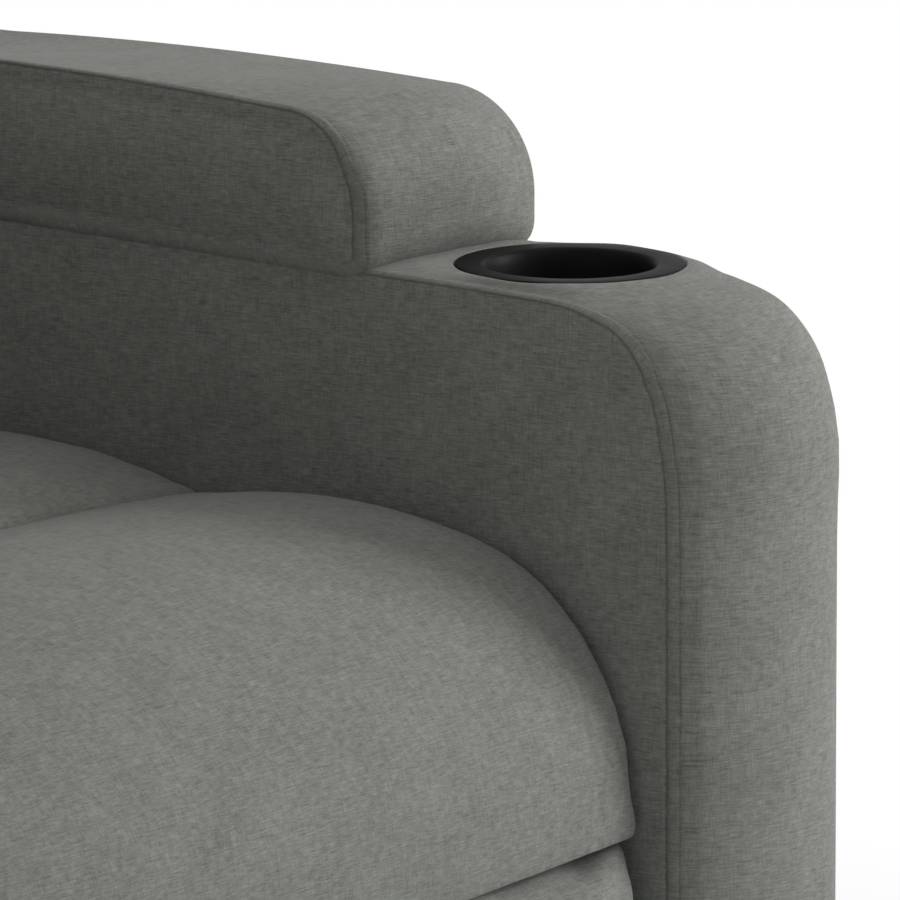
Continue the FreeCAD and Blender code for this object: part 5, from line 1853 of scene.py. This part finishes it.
@dataclass
class Control:
    """Plate on the outside of the right arm, with an up and a down button."""

    wall: float = -LEFT_ARM[1].x / MM
    place: Pair = ((CONTROL[0].y + CONTROL[1].y) / 2 / MM, (CONTROL[0].z + CONTROL[1].z) / 2 / MM)
    length: float = 96.0
    width: float = 50.0
    proud: float = 3.0
    depth: float = 7.5
    button_radius: float = 11.0
    button_pitch: float = 38.0
    button_proud: float = 4.0
    travel: float = 2.5
    corner: float = 12.0
    segments: int = 48

    def _plate(self) -> bpy.types.Object:
        """Make the plate with its softened edge and its two dished wells.

        Returns:
            The plate.
        """
        face = self.wall - self.proud
        corner = self.corner
        bow = quarter_rise(corner)
        rings = []
        for inset, depth in ((0.0, self.depth + self.proud), (0.0, 1.6), (0.25, 0.7), (0.8, 0.2), (1.6, 0.0)):
            half_y = self.length / 2 - inset
            half_z = self.width / 2 - inset
            loop = bowed([
                (-half_y + corner, -half_z), (half_y - corner, -half_z, bow), (half_y, -half_z + corner),
                (half_y, half_z - corner, bow), (half_y - corner, half_z), (-half_y + corner, half_z, bow),
                (-half_y, half_z - corner), (-half_y, -half_z + corner, bow),
            ], (16, 8, 8, 8, 16, 8, 8, 8))
            rings.append(np.column_stack((np.full(len(loop), face + depth), loop + np.array(self.place))))
        faces = ring_faces(len(rings), len(rings[0]), caps=False)
        points = np.concatenate(rings)
        plate = piece("control_face", points, faces, Finish.BLACK_PLASTIC)
        shaped = bmesh.new()
        shaped.from_mesh(plate.data)
        shaped.verts.ensure_lookup_table()
        count = len(rings[0])
        outer = [shaped.verts[(len(rings) - 1) * count + spot] for spot in range(count)]
        loops = []
        steps = 40
        for side in (-1, 1):
            centre = np.array((self.place[0] + side * self.button_pitch / 2, self.place[1]))
            previous = None
            for radius, depth in ((self.button_radius + 2.2, 0.0), (self.button_radius + 1.0, 0.35),
                                  (self.button_radius + 0.5, 1.2), (self.button_radius + 0.45, 8.3)):
                ring = [shaped.verts.new(Vector((face + depth, centre[0] + radius * math.cos(turn),
                                                 centre[1] + radius * math.sin(turn))) * MM)
                        for turn in np.linspace(0, 2 * math.pi, steps, endpoint=False)]
                if previous is None:
                    loops.append(ring)
                else:
                    for spot in range(steps):
                        after = (spot + 1) % steps
                        shaped.faces.new((previous[spot], previous[after], ring[after], ring[spot]))
                previous = ring
            shaped.faces.new(previous)
        edges = []
        for ring in (outer, *loops):
            for spot, vert in enumerate(ring):
                after = ring[(spot + 1) % len(ring)]
                edges.append(shaped.edges.get((vert, after)) or shaped.edges.new((vert, after)))
        bmesh.ops.triangle_fill(shaped, use_beauty=True, use_dissolve=False, edges=edges,
                                normal=Vector((-1.0, 0.0, 0.0)))
        bmesh.ops.recalc_face_normals(shaped, faces=shaped.faces)
        shaped.to_mesh(plate.data)
        shaped.free()
        for polygon in plate.data.polygons:
            polygon.use_smooth = abs(polygon.normal.x) < 0.95
        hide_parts("control_plate")
        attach(plate, "chassis")
        return plate

    def _button(self, node: str, body: str, side: int) -> bpy.types.Object:
        """Make one domed button with a raised arrow.

        Args:
            node: Node that it replaces.
            body: Body that it rides on.
            side: -1 for the front button, 1 for the rear one.

        Returns:
            The button.
        """
        top = self.wall - self.proud - self.button_proud
        back = self.wall + self.depth - 2.0 - self.travel - 0.3
        radius = self.button_radius
        profile = [(back, radius * 0.98), (top + 1.8, radius), (top + 0.8, radius - 0.3),
                   (top + 0.2, radius - 1.1), (top, radius - 2.4), (top + 0.5, radius - 5.0),
                   (top + 0.7, 0.3)]
        centre = np.array((self.place[0] + side * self.button_pitch / 2, self.place[1]))
        turns = np.linspace(0, 2 * math.pi, self.segments, endpoint=False)
        circle = np.stack((np.cos(turns), np.sin(turns)), 1)
        rings = [np.column_stack((np.full(len(turns), depth), centre + circle * size))
                 for depth, size in profile]
        faces = ring_faces(len(rings), len(turns))
        button = piece(f"{node}_cap", np.concatenate(rings), faces, Finish.BUTTON_PLASTIC)
        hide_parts(node)
        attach(button, body)
        point = 4.6 if side < 0 else -4.6
        tip = [(0.0, point), (-4.2, -point * 0.55), (4.2, -point * 0.55)]
        loop = tip if side > 0 else [tip[0], tip[2], tip[1]]
        marks = []
        for depth, scale in ((top + 0.9, 1.0), (top + 0.15, 1.0), (top - 0.05, 0.86)):
            marks.append([(depth, centre[0] + u * scale, centre[1] + v * scale) for u, v in loop])
        mark = piece(f"{node}_arrow", np.array(marks).reshape(-1, 3), ring_faces(3, 3), Finish.MARK_PLASTIC)
        for polygon in mark.data.polygons:
            polygon.use_smooth = False
        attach(mark, body)
        return button

    def build(self) -> None:
        """Make the plate and its buttons."""
        self._plate()
        self._button("button_up", "up_button", -1)
        self._button("button_down", "down_button", 1)
        LOG.info("control: plate and two buttons")


@dataclass
class Carcass:
    """The frame and the mechanism, whose construction shapes stay, with their own finishes."""

    def dress(self) -> None:
        """Give every construction node the finish of its slot."""
        slots = {part["node"]: part["material_slot"] for part in frame["record"]["subparts"]}
        for name, thing in frame["nodes"].items():
            thing.data.materials.clear()
            thing.data.materials.append(SLOT_FINISHES[slots[name]].material())
        LOG.info("carcass: %d nodes dressed", len(slots))


@dataclass
class Studio:
    """Floor, soft lights and white surroundings."""

    floor_size: float = 60.0
    shadow_reach: Pair = (0.7, 1.5)
    fill: float = 0.4
    key: float = 90.0
    rim: float = 10.0
    side: float = 6.0

    def _light(self, name: str, place: Triple, aim: Triple, size: float, power: float) -> None:
        """Hang one soft light.

        Args:
            name: Name of the light.
            place: Where it hangs, in metres.
            aim: What it faces.
            size: Side of its square face.
            power: Its power in watts.
        """
        data = bpy.data.lights.new(name, "AREA")
        data.size = size
        data.energy = power
        lamp = bpy.data.objects.new(name, data)
        lamp.location = place
        lamp.rotation_mode = "QUATERNION"
        lamp.rotation_quaternion = (Vector(aim) - Vector(place)).to_track_quat("-Z", "Y")
        lamp.visible_camera = False
        bpy.context.scene.collection.objects.link(lamp)

    def _floor(self) -> None:
        """Lay the floor, white to the camera but for the chair's shadow."""
        half = self.floor_size / 2
        mesh = bpy.data.meshes.new("floor")
        corners = [(-half, -half, 0), (half, -half, 0), (half, half, 0), (-half, half, 0)]
        mesh.from_pydata(corners, [], [(0, 1, 2, 3)])
        surface = Surface("studio_floor")
        place = surface.place()
        haze = surface.grain(place, (3.0, 3.0, 3.0), 2.0)
        surface.dress({"Base Color": surface.tint(haze, (0.86, 0.86, 0.86), (0.88, 0.88, 0.88)),
                       "Roughness": 0.9, "Specular IOR Level": 0.1})
        path = surface.node("LightPath", output="Is Camera Ray")
        glow = surface.node("Emission", None, {"Color": (1.0, 1.0, 1.0, 1.0), "Strength": 1.0}, 0)
        body = Signal(surface.tree, surface.shader.outputs[0])
        away = surface.node("VectorMath", {"operation": "LENGTH"}, {0: place}, "Value")
        near, far = self.shadow_reach
        clear = ((away - near) / (far - near)).between(0.0, 1.0)
        faint = surface.node("MixShader", None, {0: path * (clear * 0.45 + 0.55), 1: body, 2: glow})
        output = surface.tree.nodes["Material Output"]
        surface.tree.links.new(faint.socket, output.inputs["Surface"])
        mesh.materials.append(surface.material)
        floor = bpy.data.objects.new("floor", mesh)
        bpy.context.scene.collection.objects.link(floor)

    def _surroundings(self) -> None:
        """Light the chair evenly and show white behind it."""
        world = bpy.data.worlds.new("studio")
        world.use_nodes = True
        tree = world.node_tree
        back = tree.nodes["Background"]
        back.inputs["Color"].default_value = (1.0, 1.0, 1.0, 1.0)
        path = tree.nodes.new("ShaderNodeLightPath")
        camera = Signal(tree, path.outputs["Is Camera Ray"])
        gloss = Signal(tree, path.outputs["Is Glossy Ray"])
        through = Signal(tree, path.outputs["Is Transmission Ray"])
        seen = (camera + through + gloss * 0.35).between(0.0, 1.0)
        strength = seen * (1.0 - self.fill) + self.fill
        tree.links.new(strength.socket, back.inputs["Strength"])
        bpy.context.scene.world = world

    def build(self) -> None:
        """Set up the studio."""
        self._floor()
        self._surroundings()
        self._light("key", (2.69, -2.53, 1.75), (0.1, -0.2, 0.45), 1.5, self.key)
        self._light("side", (-2.8, -0.7, 1.0), (0.3, -0.1, 0.6), 1.5, self.side)
        self._light("top", (0.6, -0.4, 3.2), (0.1, -0.1, 0.5), 1.6, self.rim)
        scene = bpy.context.scene
        scene.view_settings.view_transform = "Standard"
        LOG.info("studio ready")


@dataclass
class Viewpoint:
    """Camera at the photograph's angle: close on the left arm, from the front and the right."""

    place: Triple = (-2.932, -2.5435, 1.166)
    yaw: float = 55.12
    pitch: float = 9.85
    focal: float = 7864.0
    frame_side: float = 900.0
    sensor: float = 36.0

    def build(self) -> None:
        """Make the camera."""
        data = bpy.data.cameras.new("camera")
        data.sensor_width = self.sensor
        data.lens = self.focal / self.frame_side * self.sensor
        data.clip_start = 0.1
        data.clip_end = 60.0
        camera = bpy.data.objects.new("camera", data)
        camera.location = self.place
        camera.rotation_euler = (math.radians(90 - self.pitch), 0.0, math.radians(-self.yaw))
        bpy.context.scene.collection.objects.link(camera)
        bpy.context.scene.camera = camera
        LOG.info("camera ready")


def main() -> None:
    """Build the chair in order."""
    logging.basicConfig(level=logging.INFO, format="%(name)s: %(message)s")
    Viewpoint().build()
    Studio().build()
    Carcass().dress()
    for side in (1, -1):
        Arm(side).build()
    Seat().build()
    FrontPanel().build()
    Back().build()
    Skirt().build()
    Control().build()


if __name__ == "__main__":
    main()
